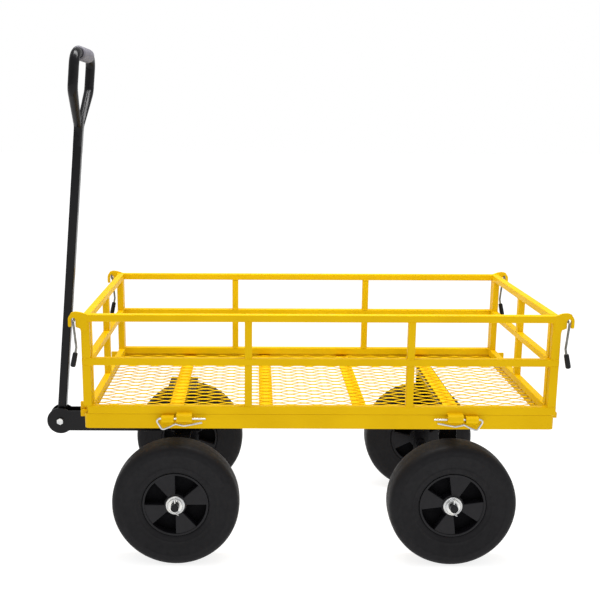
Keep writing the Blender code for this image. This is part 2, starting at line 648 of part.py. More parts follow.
def loop_section(path):
    """Half sizes along the loop: flat where the arms are bolted on, round elsewhere."""
    flat_top = SHAFT_LENGTH - 0.004
    round_from = flat_top + 0.030

    def size(k):
        part = min(max((path[k].z - flat_top) / (round_from - flat_top), 0.0), 1.0)
        across = ARM_FLAT_WIDTH / 2 + (LOOP_TUBE_RADIUS - ARM_FLAT_WIDTH / 2) * part
        thick = ARM_FLAT_THICKNESS / 2 + (LOOP_TUBE_RADIUS - ARM_FLAT_THICKNESS / 2) * part
        return across, thick

    return size


def handle(handle_pivot):
    """Square shaft, bent loop bolted to both sides of its top, and a sleeve grip."""
    half = SHAFT_SIZE / 2
    outline = rectangle((-half, -half), (half, half))
    inside = rectangle((SHAFT_WALL - half, SHAFT_WALL - half), (half - SHAFT_WALL, half - SHAFT_WALL))
    shaft = prism(outline, -SHAFT_BELOW_PIVOT, SHAFT_LENGTH, "Z", holes=[inside])
    shaft = cut(shaft, rod((0, 0), PIVOT_BOLT_RADIUS + PIN_PLAY, -0.02, 0.02, "Y", 16),
                rod((0, LOOP_BOLT_HEIGHT), LOOP_BOLT_RADIUS + PIN_PLAY, -0.02, 0.02, "Y", 16))
    place("handle_shaft", to_handle(shaft), "black_gloss_paint", handle_pivot)

    path = loop_path()
    loop = sweep(path, 12, loop_section(path), across=Vector((1, 0, 0)))
    loop = cut(loop, rod((0, LOOP_BOLT_HEIGHT), LOOP_BOLT_RADIUS + PIN_PLAY, -0.03, 0.03, "Y", 16))
    place("handle_loop", to_handle(loop), "black_gloss_paint", handle_pivot)

    bevel = 0.003
    bore = LOOP_TUBE_RADIUS + PIN_PLAY
    profile = [(bore, -GRIP_HALF_LENGTH), (GRIP_RADIUS - bevel, -GRIP_HALF_LENGTH),
               (GRIP_RADIUS, bevel - GRIP_HALF_LENGTH), (GRIP_RADIUS, GRIP_HALF_LENGTH - bevel),
               (GRIP_RADIUS - bevel, GRIP_HALF_LENGTH), (bore, GRIP_HALF_LENGTH)]
    place("handle_grip", to_handle(lathe(profile, 0, GRIP_HEIGHT, 20)), "grey_grip_plastic", handle_pivot)

    bolt_at = HANDLE_PIVOT + Matrix.Rotation(HANDLE_LEAN, 3, "Y") @ Vector((0, 0, LOOP_BOLT_HEIGHT))
    grip = SHAFT_SIZE / 2 + GAP + ARM_FLAT_THICKNESS
    cross_bolt("loop_bolt", (bolt_at.x, bolt_at.z), LOOP_BOLT_RADIUS, LOOP_BOLT_FLATS, LOOP_BOLT_HEAD, grip,
               LOOP_BOLT_HEAD, "black_gloss_paint", handle_pivot)


# ---- panels ---------------------------------------------------------------------
def windows(posts, rails):
    """Rectangles left open between neighbouring posts and rails, each given as (low, high)."""
    return [rectangle((left[1], below[1]), (right[0], above[0]))
            for left, right in zip(posts, posts[1:]) for below, above in zip(rails, rails[1:])]


def rail_heights():
    return [(PANEL_BOTTOM, PANEL_BOTTOM + PANEL_TUBE), (MID_RAIL_TOP - PANEL_TUBE, MID_RAIL_TOP),
            (TOP_RAIL_TOP - PANEL_TUBE, TOP_RAIL_TOP)]


def ear(side):
    """Plate with a slot open below at a top corner of the near side panel; side is -1 at the handle end."""
    inner = PANEL_LENGTH / 2 - CORNER_POST
    tip = EAR_X + EAR_RADIUS
    brow = arc((EAR_X, EAR_Z), EAR_RADIUS + EAR_BROW, 60, 100, 2)
    slot = arc((EAR_SLOT_X, EAR_Z), EAR_SLOT / 2, 180, 0, 6)
    slot = [(slot[0][0], EAR_Z - EAR_DROP)] + slot + [(slot[-1][0], EAR_Z - EAR_DROP + 0.001)]
    finger = [(tip - 0.0015, EAR_Z - EAR_DROP), (tip, EAR_Z - EAR_DROP + 0.0015)]
    finger += arc((EAR_X, EAR_Z), EAR_RADIUS, 0, 45, 2)
    under = [(PANEL_LENGTH / 2 - 0.0015, EAR_Z - 0.0260), (PANEL_LENGTH / 2 + 0.0005, EAR_Z - 0.0170)]
    outline = under + slot + finger + brow + [(inner + 0.003, TOP_RAIL_TOP - 0.001), (inner + 0.003, EAR_Z - 0.020)]
    outline = [(side * x, z) for x, z in outline]
    outer = -PANEL_FACE_Y - EAR_PROUD
    return prism(outline, outer, outer + EAR_THICKNESS, "Y")


def side_tab(side):
    """Hinge tab that hangs from the near panel's bottom rail over the skirt."""
    y, z = -SIDE_HINGE_Y, SIDE_HINGE_Z
    rail = -PANEL_FACE_Y + 0.001
    outline = arc((y, z), BARREL_RADIUS, 180, 360, 6)
    outline += [(y + BARREL_RADIUS, PANEL_BOTTOM + 0.001), (rail, PANEL_BOTTOM + 0.001), (rail, z + TAB_HEIGHT),
                (y - BARREL_RADIUS / 2, z + TAB_HEIGHT), (y - BARREL_RADIUS, z + TAB_HEIGHT - 0.004)]
    bore = circle(CLIP_RADIUS + PIN_PLAY, 12, (y, z))
    middle = side * TAB_X
    return prism(outline, middle - TAB_WIDTH / 2, middle + TAB_WIDTH / 2, "X", holes=[bore])


def side_panel(name, half_turn, panel_pivot):
    """Three rails and four posts in one plane, with an ear at each end and two hinge tabs."""
    end = PANEL_LENGTH / 2
    posts = [(-end, CORNER_POST - end)]
    posts += [(x - PANEL_TUBE / 2, x + PANEL_TUBE / 2) for x in SIDE_POSTS] + [(end - CORNER_POST, end)]
    notch_x, notch_z = CORNER_NOTCH
    outline = [(notch_x - end, PANEL_BOTTOM), (end, PANEL_BOTTOM), (end, TOP_RAIL_TOP), (-end, TOP_RAIL_TOP),
               (-end, PANEL_BOTTOM + notch_z), (notch_x - end, PANEL_BOTTOM + notch_z)]
    panel = prism(outline, -PANEL_FACE_Y, PANEL_TUBE - PANEL_FACE_Y, "Y", holes=windows(posts, rail_heights()))
    panel = union(panel, ear(-1), ear(1), side_tab(-1), side_tab(1))
    return place(name, turned(panel, half_turn), "yellow_powder_coat", panel_pivot)


def end_hook(side):
    """Hook on the +X end panel's bottom rail that drops over a stub pin; side is -1 near."""
    x, z = END_HINGE_X, END_HINGE_Z
    play = END_PIN_RADIUS + 0.0005
    inside = TRAY_LENGTH / 2 + 0.001
    outline = [(END_PANEL_FACE_X - 0.0025, z + 0.0165), (x + 0.007, z + 0.0165), (x + 0.007, z - 0.0045),
               (x + play, z - 0.0045), (x + play, z + play), (inside, z + play), (inside, PANEL_BOTTOM + 0.0005),
               (END_PANEL_FACE_X - 0.0025, PANEL_BOTTOM + 0.0005)]
    faces = sorted((side * (HOOK_Y - HOOK_THICKNESS / 2), side * (HOOK_Y + HOOK_THICKNESS / 2)))
    return prism(outline, *faces, "Y")


def end_panel(name, half_turn, panel_pivot):
    """Three rails and three posts across the cart, between the side panels, with two hinge hooks."""
    half = END_PANEL_HALF_WIDTH
    posts = [(-half, PANEL_TUBE - half), (-PANEL_TUBE / 2, PANEL_TUBE / 2), (half - PANEL_TUBE, half)]
    panel = prism(rectangle((-half, PANEL_BOTTOM), (half, TOP_RAIL_TOP)), END_PANEL_FACE_X - PANEL_TUBE,
                  END_PANEL_FACE_X, "X", holes=windows(posts, rail_heights()))
    panel = union(panel, end_hook(-1), end_hook(1))
    return place(name, turned(panel, half_turn), "yellow_powder_coat", panel_pivot)


def r_clip(name, side, half_turn, cart):
    """Spring clip: a straight leg that is the hinge pin, and a wavy leg that grips under the tab."""
    clip = wire([(side * (KNUCKLE_X + along), -SIDE_HINGE_Y, SIDE_HINGE_Z - drop) for along, drop in CLIP_SHAPE],
                CLIP_RADIUS, CLIP_BEND, sides=6)
    return place(name, turned(clip, half_turn), "zinc_plate", cart)


def latch_lever(name, side, half_turn, lever_pivot):
    """Bent wire through an ear's eye with a dipped grip; it hangs outside the panel."""
    outside = -PANEL_FACE_Y - EAR_PROUD - LEVER_CLEAR - LEVER_RADIUS
    inside = EAR_THICKNESS - PANEL_FACE_Y - EAR_PROUD + LEVER_CLEAR + LEVER_RADIUS
    pivot_x, pivot_z = LEVER_PIVOT

    def down(drop):
        return Vector((side * (pivot_x + drop[0]), outside, pivot_z - drop[1]))

    points = [(side * pivot_x, inside, pivot_z + LEVER_TAIL), (side * pivot_x, inside, pivot_z), down((0, 0))]
    bar = wire(points + [down(drop) for drop in LEVER_DROPS], LEVER_RADIUS, LEVER_BEND, sides=6)
    place(name, turned(bar, half_turn), "zinc_plate", lever_pivot)

    top, tip, end = down(LEVER_GRIP_TOP), down(LEVER_DROPS[-1]), down(LEVER_GRIP_END)
    along = (end - top).normalized()
    sleeve = sweep([top, end - along * LEVER_RADIUS, end], 12,
                   lambda k: (LEVER_GRIP_RADIUS * (0.7 if k == 2 else 1.0),) * 2)
    hole = sweep([top - along * LEVER_RADIUS, tip + along * GAP], 8, lambda k: (LEVER_RADIUS + PIN_PLAY,) * 2)
    place(name + "_grip", turned(cut(sleeve, hole), half_turn), "black_vinyl", lever_pivot)


# ---- the cart -------------------------------------------------------------------
def build():
    cart = pivot("cart", (0, 0, 0))
    cart.location.x = CART_X
    tray_frame(cart)
    deck(cart)
    crossbars(cart)
    axle_support("rear_axle_support", REAR_AXLE_X, BAR_BOTTOM - GAP, cart)
    axle("rear_axle", REAR_AXLE_X, cart)
    front_mount(cart)

    steering = pivot("steering_pivot", (FRONT_AXLE_X, 0, WHEEL_RADIUS), cart)
    axle_support("front_axle_support", FRONT_AXLE_X, FORK_BOTTOM - GAP, steering)
    axle("front_axle", FRONT_AXLE_X, steering)
    tongue_fork(steering)
    cross_bolt("handle_pivot_bolt", (HANDLE_PIVOT.x, HANDLE_PIVOT.z), PIVOT_BOLT_RADIUS, PIVOT_BOLT_FLATS,
               PIVOT_BOLT_HEAD, FORK_HALF_WIDTH, PIVOT_BOLT_HEAD, "zinc_plate", steering, tilt=math.radians(30))
    handle(pivot("handle_pivot", HANDLE_PIVOT, steering))

    for end, x, carrier in (("front", FRONT_AXLE_X, steering), ("rear", REAR_AXLE_X, cart)):
        for flank, side in (("near", -1), ("far", 1)):
            turning = pivot(f"{end}_{flank}_wheel_pivot", (x, side * HALF_TRACK, WHEEL_RADIUS), carrier)
            wheel(f"{end}_{flank}", x, side, carrier, turning)

    for flank, half_turn in (("near", False), ("far", True)):
        way = -1 if half_turn else 1
        panel_pivot = pivot(f"{flank}_panel_pivot", (0, -way * SIDE_HINGE_Y, SIDE_HINGE_Z), cart)
        side_panel(f"{flank}_side_panel", half_turn, panel_pivot)
        for side in (-1, 1):
            end = "front" if side * way < 0 else "rear"
            r_clip(f"{flank}_{end}_r_clip", side, half_turn, cart)
            lever_pivot = pivot(f"{flank}_{end}_lever_pivot",
                                (side * way * LEVER_PIVOT[0], -way * PANEL_FACE_Y, LEVER_PIVOT[1]), panel_pivot)
            latch_lever(f"{flank}_{end}_latch_lever", side, half_turn, lever_pivot)

    end_panel("rear_panel", False, pivot("rear_panel_pivot", (END_HINGE_X, 0, END_HINGE_Z), cart))
    end_panel("front_panel", True, pivot("front_panel_pivot", (-END_HINGE_X, 0, END_HINGE_Z), cart))


build()
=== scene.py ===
# %% [markdown]
# # A mesh-deck garden cart
# The cart is a shallow pressed tray on two axles. Panels of square tube stand on the tray, wire clips pin
# them to it, and a tow handle hangs in a fork under the front end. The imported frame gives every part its
# place, and this notebook dresses those parts: rolled edges, bent wire, moulded rubber, expanded mesh and
# the finishes on them.

# %% Open the frame
import json
import math

import bmesh
import bpy
from mathutils import Matrix, Vector


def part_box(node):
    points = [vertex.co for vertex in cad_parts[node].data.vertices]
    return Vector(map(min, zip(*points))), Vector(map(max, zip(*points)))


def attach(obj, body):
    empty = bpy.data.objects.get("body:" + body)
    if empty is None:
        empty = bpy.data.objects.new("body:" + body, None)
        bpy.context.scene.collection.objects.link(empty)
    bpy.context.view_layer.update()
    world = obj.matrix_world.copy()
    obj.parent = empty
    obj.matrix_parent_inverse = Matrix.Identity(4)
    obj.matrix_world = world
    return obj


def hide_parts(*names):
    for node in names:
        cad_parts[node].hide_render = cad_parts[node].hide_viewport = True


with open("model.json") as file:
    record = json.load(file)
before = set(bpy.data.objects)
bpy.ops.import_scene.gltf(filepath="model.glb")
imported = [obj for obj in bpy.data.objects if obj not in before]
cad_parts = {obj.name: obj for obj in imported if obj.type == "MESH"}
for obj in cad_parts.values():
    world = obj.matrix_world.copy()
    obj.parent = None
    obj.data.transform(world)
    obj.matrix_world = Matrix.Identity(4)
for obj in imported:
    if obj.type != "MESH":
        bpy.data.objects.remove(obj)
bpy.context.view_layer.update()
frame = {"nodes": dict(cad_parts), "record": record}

# %% [markdown]
# Everything on the tray is drawn from the tray's middle, because that is how such a cart is dimensioned:
# the posts, clips and hooks repeat on both sides of it. One matrix carries a piece to its place in the
# frame, and a half turn about the same middle gives the opposite copy of a panel, as on the real cart,
# where both sides are the same part.

# %% The tray's middle
tray_low, tray_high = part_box("tray_frame")
tray_middle_x = (tray_low.x + tray_high.x) / 2
AT_TRAY = Matrix.Translation((tray_middle_x, 0, 0))
HALF_TURN = Matrix.Rotation(math.pi, 4, "Z")
TRAY_HALF_LENGTH = 0.452
TRAY_HALF_WIDTH = 0.230
TRAY_TOP = 0.3205
TRAY_BOTTOM = 0.2920
print("tray middle at x =", round(tray_middle_x, 4))

# %% [markdown]
# A finish is one Principled shader with a little grain in it. Object coordinates are in metres here, so a
# noise scale of 700 means features of about a millimetre and a half, which is the texture of sprayed and
# baked powder. The same helpers serve every finish: grain reads a noise, two more spread it over a range
# of colour or roughness, and the last turns it into relief. The plain colour and roughness that a finish
# starts with are its averages, for a viewer that leaves the grain out.

# %% Helpers for finishes
def new_finish(slot, colour, roughness, metallic=0.0, specular=0.5):
    finish = bpy.data.materials.new(slot + "_grained")
    finish["slot"] = slot
    finish.use_nodes = True
    shader = finish.node_tree.nodes["Principled BSDF"]
    shader.inputs["Base Color"].default_value = (*colour, 1)
    shader.inputs["Roughness"].default_value = roughness
    shader.inputs["Metallic"].default_value = metallic
    shader.inputs["Specular IOR Level"].default_value = specular
    return finish


def grain(finish, scale, detail):
    """Noise over the piece, in features per metre."""
    nodes, links = finish.node_tree.nodes, finish.node_tree.links
    noise = nodes.new("ShaderNodeTexNoise")
    noise.inputs["Scale"].default_value = scale
    noise.inputs["Detail"].default_value = detail
    links.new(nodes.new("ShaderNodeTexCoord").outputs["Object"], noise.inputs["Vector"])
    return noise.outputs["Fac"]


def spread_colour(finish, height, dark, light, start=0.35, end=0.65):
    nodes, links = finish.node_tree.nodes, finish.node_tree.links
    ramp = nodes.new("ShaderNodeValToRGB")
    ramp.color_ramp.elements[0].position, ramp.color_ramp.elements[1].position = start, end
    ramp.color_ramp.elements[0].color, ramp.color_ramp.elements[1].color = (*dark, 1), (*light, 1)
    links.new(height, ramp.inputs["Fac"])
    links.new(ramp.outputs["Color"], nodes["Principled BSDF"].inputs["Base Color"])


def spread_roughness(finish, height, smooth, rough):
    nodes, links = finish.node_tree.nodes, finish.node_tree.links
    spread = nodes.new("ShaderNodeMapRange")
    spread.inputs["From Min"].default_value, spread.inputs["From Max"].default_value = 0.3, 0.7
    spread.inputs["To Min"].default_value, spread.inputs["To Max"].default_value = smooth, rough
    links.new(height, spread.inputs["Value"])
    links.new(spread.outputs["Result"], nodes["Principled BSDF"].inputs["Roughness"])


def add_relief(finish, height, depth, strength):
    nodes, links = finish.node_tree.nodes, finish.node_tree.links
    bump = nodes.new("ShaderNodeBump")
    bump.inputs["Distance"].default_value = depth
    bump.inputs["Strength"].default_value = strength
    links.new(height, bump.inputs["Height"])
    links.new(bump.outputs["Normal"], nodes["Principled BSDF"].inputs["Normal"])


# %% [markdown]
# The yellow is a baked powder coat. It has a faint orange peel, it pools a shade deeper here and there,
# and it has only a low sheen, so the pigment stays saturated. The black on the handle and the axles is
# ordinary gloss paint, smoother and a little wavy.

# %% Powder coat and gloss paint
yellow = new_finish("yellow_powder_coat", (0.80, 0.49, 0.001), 0.40, specular=0.07)
spread_colour(yellow, grain(yellow, 9, 4), (0.77, 0.465, 0.0005), (0.83, 0.515, 0.0015))
spread_roughness(yellow, grain(yellow, 40, 3), 0.36, 0.48)
add_relief(yellow, grain(yellow, 650, 2), 0.0003, 0.12)

black_paint = new_finish("black_gloss_paint", (0.004, 0.0038, 0.0052), 0.22, specular=0.20)
spread_colour(black_paint, grain(black_paint, 30, 4), (0.003, 0.0028, 0.0036), (0.005, 0.0048, 0.006))
spread_roughness(black_paint, grain(black_paint, 60, 3), 0.16, 0.30)
add_relief(black_paint, grain(black_paint, 320, 2), 0.0003, 0.10)
print("paints:", yellow.name, black_paint.name)

# %% [markdown]
# Zinc plate is a thin bright metal skin that dulls unevenly, so its roughness wanders and its colour
# drifts between blue and straw. On the latch levers, which hands rub, it has dulled to a dark grey. The
# rubber is solid and slightly chalky from its mould release, which shows as fine mottling on a matt black.
# The hubs' plastic has a sheen on its faces. Down in its pockets it has a dull skin, and its darker colour there is
# painted shade.

# %% Zinc, rubber and plastics
zinc = new_finish("zinc_plate", (0.66, 0.66, 0.65), 0.28, metallic=1.0)
spread_colour(zinc, grain(zinc, 90, 3), (0.58, 0.59, 0.60), (0.76, 0.75, 0.71))
spread_roughness(zinc, grain(zinc, 260, 4), 0.20, 0.42)
add_relief(zinc, grain(zinc, 1400, 2), 0.0001, 0.15)

dull_zinc = new_finish("zinc_plate", (0.22, 0.22, 0.20), 0.45, metallic=0.9)
spread_colour(dull_zinc, grain(dull_zinc, 140, 3), (0.16, 0.16, 0.14), (0.27, 0.27, 0.25))
spread_roughness(dull_zinc, grain(dull_zinc, 260, 4), 0.38, 0.55)

rubber = new_finish("black_rubber", (0.0052, 0.0050, 0.0066), 0.56, specular=0.20)
spread_colour(rubber, grain(rubber, 45, 6), (0.0042, 0.0040, 0.0052), (0.0068, 0.0064, 0.0078), 0.3, 0.7)
spread_roughness(rubber, grain(rubber, 120, 4), 0.50, 0.66)
add_relief(rubber, grain(rubber, 1100, 3), 0.0003, 0.20)

hub_plastic = new_finish("black_hub_plastic", (0.0052, 0.0050, 0.0068), 0.40, specular=0.22)
spread_colour(hub_plastic, grain(hub_plastic, 60, 3), (0.006, 0.0056, 0.0074), (0.008, 0.0076, 0.0096))
spread_roughness(hub_plastic, grain(hub_plastic, 180, 3), 0.36, 0.48)
add_relief(hub_plastic, grain(hub_plastic, 1600, 2), 0.0002, 0.15)

# The pocket floors' plastic is rougher with less sheen, and its colour, about half as bright as the faces', is
# painted shade for the depth of the pockets.
dull_plastic_painted_shade = new_finish("black_hub_plastic", (0.0026, 0.0025, 0.0034), 0.62, specular=0.06)
spread_colour(dull_plastic_painted_shade, grain(dull_plastic_painted_shade, 60, 3), (0.0022, 0.0021, 0.0029), (0.0031, 0.0030, 0.0040))
spread_roughness(dull_plastic_painted_shade, grain(dull_plastic_painted_shade, 180, 3), 0.56, 0.70)
add_relief(dull_plastic_painted_shade, grain(dull_plastic_painted_shade, 1600, 2), 0.0002, 0.15)

grey_grip = new_finish("grey_grip", (0.125, 0.120, 0.138), 0.45, specular=0.22)
spread_colour(grey_grip, grain(grey_grip, 120, 4), (0.12, 0.115, 0.135), (0.15, 0.145, 0.165))
spread_roughness(grey_grip, grain(grey_grip, 300, 3), 0.40, 0.56)
add_relief(grey_grip, grain(grey_grip, 1500, 2), 0.0002, 0.25)

vinyl = new_finish("black_vinyl", (0.006, 0.006, 0.007), 0.40, specular=0.2)
spread_colour(vinyl, grain(vinyl, 200, 3), (0.005, 0.005, 0.006), (0.008, 0.008, 0.009))
spread_roughness(vinyl, grain(vinyl, 400, 3), 0.34, 0.48)
add_relief(vinyl, grain(vinyl, 900, 2), 0.0002, 0.12)
print("finishes:", len(bpy.data.materials))

# %% [markdown]
# Each finished piece goes through one helper. It carries the shape to its place, turns the faces outwards,
# gives it its finish, and lets it ride on its body in place of the plain parts. Weighted normals keep the
# broad faces of a tube looking flat while its rolled corners stay smooth.

# %% A finished piece
def show(shape, name, body, finish, stands_for, place=AT_TRAY, crease=40):
    bmesh.ops.transform(shape, matrix=place, verts=shape.verts)
    bmesh.ops.recalc_face_normals(shape, faces=shape.faces)
    mesh = bpy.data.meshes.new(name)
    shape.to_mesh(mesh)
    shape.free()
    mesh.materials.append(finish)
    mesh.shade_smooth()
    mesh.set_sharp_from_angle(angle=math.radians(crease))
    piece = bpy.data.objects.new(name, mesh)
    bpy.context.scene.collection.objects.link(piece)
    piece.modifiers.new("broad faces first", "WEIGHTED_NORMAL").keep_sharp = True
    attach(piece, body)
    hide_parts(*stands_for)
    print(name, "with", len(mesh.polygons), "faces")
    return piece


# %% [markdown]
# Three shapes make nearly all of the steelwork. A bar of square tube is a cube, stretched and with its
# edges rolled over. A plate is an outline drawn once and given its thickness. A ring is a small rectangle
# spun round an axis, which is how a lathe would cut a washer.

# %% Bars, plates and rings
MERGE = 0.000002


def corners_in(geometry):
    return [item for item in geometry if isinstance(item, bmesh.types.BMVert)]


def faces_in(geometry):
    return [item for item in geometry if isinstance(item, bmesh.types.BMFace)]


def push(shape, face, distance):
    """Push one face straight out of the shape. Gives back its moved corners and the face itself."""
    grown = bmesh.ops.extrude_face_region(shape, geom=[face])["geom"]
    moved = corners_in(grown)
    bmesh.ops.translate(shape, verts=moved, vec=distance)
    return moved, faces_in(grown)[0]


def roll_edges(shape, edges, rounding, segments=3):
    bmesh.ops.bevel(shape, geom=list(edges), offset=rounding, offset_type="OFFSET", segments=segments,
                    profile=0.5, affect="EDGES", clamp_overlap=True, material=-1)


def add_bar(shape, low, high, rounding=0.0016):
    low, high = Vector(low), Vector(high)
    cube = bmesh.ops.create_cube(shape, size=1.0,
                                 matrix=Matrix.LocRotScale((low + high) / 2, None, high - low))
    roll_edges(shape, {edge for corner in cube["verts"] for edge in corner.link_edges}, rounding)


def add_plate(shape, outline, axis, low, high, rounding=0.0006):
    """Give an outline its thickness along an axis. Outline points are (y, z) for X and (x, z) for Y."""
    lay = {"X": lambda a, b: (low, a, b), "Y": lambda a, b: (a, low, b)}[axis]
    reach = {"X": Vector((1, 0, 0)), "Y": Vector((0, 1, 0))}[axis] * (high - low)
    face = shape.faces.new([shape.verts.new(lay(*point)) for point in outline])
    raised, top = push(shape, face, reach)
    rim = set(top.edges)
    rim |= {edge for corner in raised for edge in corner.link_edges}
    base = [edge.other_vert(corner) for corner in raised for edge in corner.link_edges
            if edge.other_vert(corner) not in raised]
    rim |= {edge for corner in base for edge in corner.link_edges if edge.other_vert(corner) in base}
    roll_edges(shape, rim, rounding, 2)


def add_turning(shape, profile, centre, axis="Y", steps=48):
    """Spin a closed profile of (radius, distance along the axis) once round an axis through a centre."""
    turn = {"X": lambda r, d: Vector((d, r, 0)), "Y": lambda r, d: Vector((r, d, 0)),
            "Z": lambda r, d: Vector((r, 0, d))}[axis]
    about = {"X": (1, 0, 0), "Y": (0, 1, 0), "Z": (0, 0, 1)}[axis]
    verts = [shape.verts.new(Vector(centre) + turn(radius, along)) for radius, along in profile]
    edges = [shape.edges.new(pair) for pair in zip(verts, verts[1:] + verts[:1])]
    bmesh.ops.spin(shape, geom=verts + edges, cent=centre, axis=about, angle=math.tau, steps=steps,
                   use_merge=True)


def add_ring(shape, centre, inner, outer, low, high, axis="Y", rounding=0.0005, steps=32):
    """A washer, eye or barrel: its outer corners are rounded, its bore is left square."""
    profile = [(inner, low), (outer - rounding, low), (outer, low + rounding), (outer, high - rounding),
               (outer - rounding, high), (inner, high)]
    add_turning(shape, profile, centre, axis, steps)


# %% [markdown]
# Bent wire and bent tube are drawn as they are made: a round section is pushed straight ahead, then swung
# round a former at each corner. Extrude does the straight parts and spin does the bends, so the section
# stays round all the way.

# %% Bent wire and tube
def round_section(shape, at, heading, radius, sides):
    """A round face that looks along its heading, ready to be pushed that way."""
    turn = heading.to_track_quat("Z", "Y").to_matrix().to_4x4()
    ring = bmesh.ops.create_circle(shape, cap_ends=True, segments=sides, radius=radius,
                                   matrix=Matrix.Translation(at) @ turn)
    return ring["verts"][0].link_faces[0]


def add_wire(shape, corners, radius, bend, sides, steps):
    """Bend a wire through its corners, round a former of the radius given or the tightest that fits."""
    corners = [Vector(corner) for corner in corners]
    heading = (corners[1] - corners[0]).normalized()
    end = round_section(shape, corners[0], heading, radius, sides)
    here = corners[0]
    for corner, after in zip(corners[1:], corners[2:]):
        ahead = (after - corner).normalized()
        swing = heading.angle(ahead)
        reach = min(bend * math.tan(swing / 2), (corner - here).length * 0.9, (after - corner).length * 0.48)
        former = reach / math.tan(swing / 2)
        end = push(shape, end, corner - heading * reach - here)[1]
        inward = (ahead - heading * heading.dot(ahead)).normalized()
        here = corner - heading * reach
        swung = bmesh.ops.spin(shape, geom=[end], cent=here + inward * former, axis=heading.cross(ahead),
                               angle=swing, steps=steps)
        end = faces_in(swung["geom_last"])[0]
        here, heading = corner + ahead * reach, ahead
    push(shape, end, corners[-1] - here)


# %% [markdown]
# Machined and folded parts that are already the right shape keep it. They only need what a press or a
# grinder leaves, which is an edge that is not razor sharp, so a copy is merged, its flat faces are made
# whole again, and a Bevel modifier breaks the edges.

# %% Broken edges on the plain parts
body_of_node = {node: body for body, nodes in frame["record"]["behaviour"]["bodies"].items() for node in nodes}


def break_edges(node, finish, width):
    shape = bmesh.new()
    shape.from_mesh(frame["nodes"][node].data)
    bmesh.ops.remove_doubles(shape, verts=shape.verts, dist=MERGE)
    bmesh.ops.dissolve_limit(shape, angle_limit=math.radians(1), verts=shape.verts, edges=shape.edges)
    piece = show(shape, node + "_finished", body_of_node[node], finish, (node,), place=Matrix(), crease=50)
    bevel = piece.modifiers.new("broken edges", "BEVEL")
    bevel.width, bevel.segments, bevel.limit_method = width, 2, "ANGLE"
    bevel.angle_limit = math.radians(40)
    piece.modifiers.move(1, 0)


for number in range(1, 5):
    break_edges(f"deck_crossbar_{number}", yellow, 0.0006)
for node in ("rear_axle_support", "front_axle_support", "front_mount"):
    break_edges(node, black_paint, 0.0010)
for node in ("front_axle", "rear_axle"):
    break_edges(node, black_paint, 0.0004)
for node in ("turntable_washer", "kingpin", "kingpin_nut", "handle_pivot_bolt", "handle_pivot_bolt_nut"):
    break_edges(node, zinc, 0.0004)
for node in ("loop_bolt", "loop_bolt_nut"):
    break_edges(node, black_paint, 0.0004)

# %% [markdown]
# The tray is one pressed sheet: a skirt with a rolled top edge and a lip turned in over the deck. It
# starts as a flat sheet with rounded corners. The inset leaves the lip, the outer edge is drawn down into
# the skirt, and the fold between them is rolled before the sheet gets its thickness.

# %% Pressed tray
SHEET = 0.0025
LIP = 0.024
PLAN_CORNER, TOP_FOLD = 0.010, 0.0030
tray = bmesh.new()
sheet_at = Matrix.Translation((0, 0, TRAY_TOP)) @ Matrix.Diagonal((TRAY_HALF_LENGTH, TRAY_HALF_WIDTH, 1, 1))
bmesh.ops.create_grid(tray, x_segments=1, y_segments=1, size=1.0, matrix=sheet_at)
bmesh.ops.bevel(tray, geom=tray.verts[:], offset=PLAN_CORNER, offset_type="OFFSET", segments=6, profile=0.5,
                affect="VERTICES", clamp_overlap=True, material=-1)
outer = [edge for edge in tray.edges if edge.is_boundary]
middle_face = tray.faces[:]
bmesh.ops.inset_region(tray, faces=middle_face, thickness=LIP, use_even_offset=True)
bmesh.ops.delete(tray, geom=middle_face, context="FACES_ONLY")
drawn = bmesh.ops.extrude_edge_only(tray, edges=outer)["geom"]
bmesh.ops.translate(tray, verts=corners_in(drawn), vec=(0, 0, TRAY_BOTTOM - TRAY_TOP))
roll_edges(tray, outer, TOP_FOLD, 4)
bmesh.ops.recalc_face_normals(tray, faces=tray.faces)
if sum(face.normal.z for face in tray.faces) < 0:
    bmesh.ops.reverse_faces(tray, faces=tray.faces)
bmesh.ops.solidify(tray, geom=tray.faces[:], thickness=SHEET)
heights = [corner.co.z for corner in tray.verts]
print("sheet runs from", round(min(heights), 4), "to", round(max(heights), 4))

# %% [markdown]
# Four knuckles are welded to the long skirts for the side panels' pins, and four blocks with stub pins
# stand on the short ones for the end panels' hooks. A knuckle is a strap folded round its pin, so here it
# is a barrel with a tapered leg that runs back to the skirt.

# %% Knuckles and stub pins
HINGE_Y, HINGE_Z, BARREL, BARREL_BORE = 0.2395, 0.3145, 0.0063, 0.0025
KNUCKLE_X, KNUCKLE_HALF = 0.291, 0.012
END_PIN_X, END_PIN_Z, END_PIN_RADIUS = 0.4585, 0.3165, 0.003
HOOK_Y, HOOK_HALF, BLOCK_Y, BLOCK_HALF = 0.191, 0.003, 0.205, 0.006


def opposite_ends(shape, add):
    """Add the same thing at both ends of the near side, then copy it to the far side by a half turn."""
    before = set(shape.verts)
    for side in (-1, 1):
        add(side)
    near = [vert for vert in shape.verts if vert not in before]
    faces = {face for vert in near for face in vert.link_faces}
    edges = {edge for vert in near for edge in vert.link_edges}
    copy = bmesh.ops.duplicate(shape, geom=near + list(edges) + list(faces))["geom"]
    bmesh.ops.transform(shape, matrix=HALF_TURN, verts=corners_in(copy))


def add_knuckle(side):
    low, high = side * KNUCKLE_X - KNUCKLE_HALF, side * KNUCKLE_X + KNUCKLE_HALF
    add_ring(tray, (0, -HINGE_Y, HINGE_Z), BARREL_BORE, BARREL, low, high, "X", 0.0006, 24)
    leg = [(-TRAY_HALF_WIDTH + 0.001, TRAY_TOP - 0.001), (-HINGE_Y + 0.001, HINGE_Z + BARREL - 0.0004),
           (-HINGE_Y + 0.0024, HINGE_Z), (-HINGE_Y - 0.0050, HINGE_Z - 0.0036),
           (-TRAY_HALF_WIDTH + 0.001, TRAY_BOTTOM + 0.0065)]
    add_plate(tray, leg, "X", low, high, 0.0005)


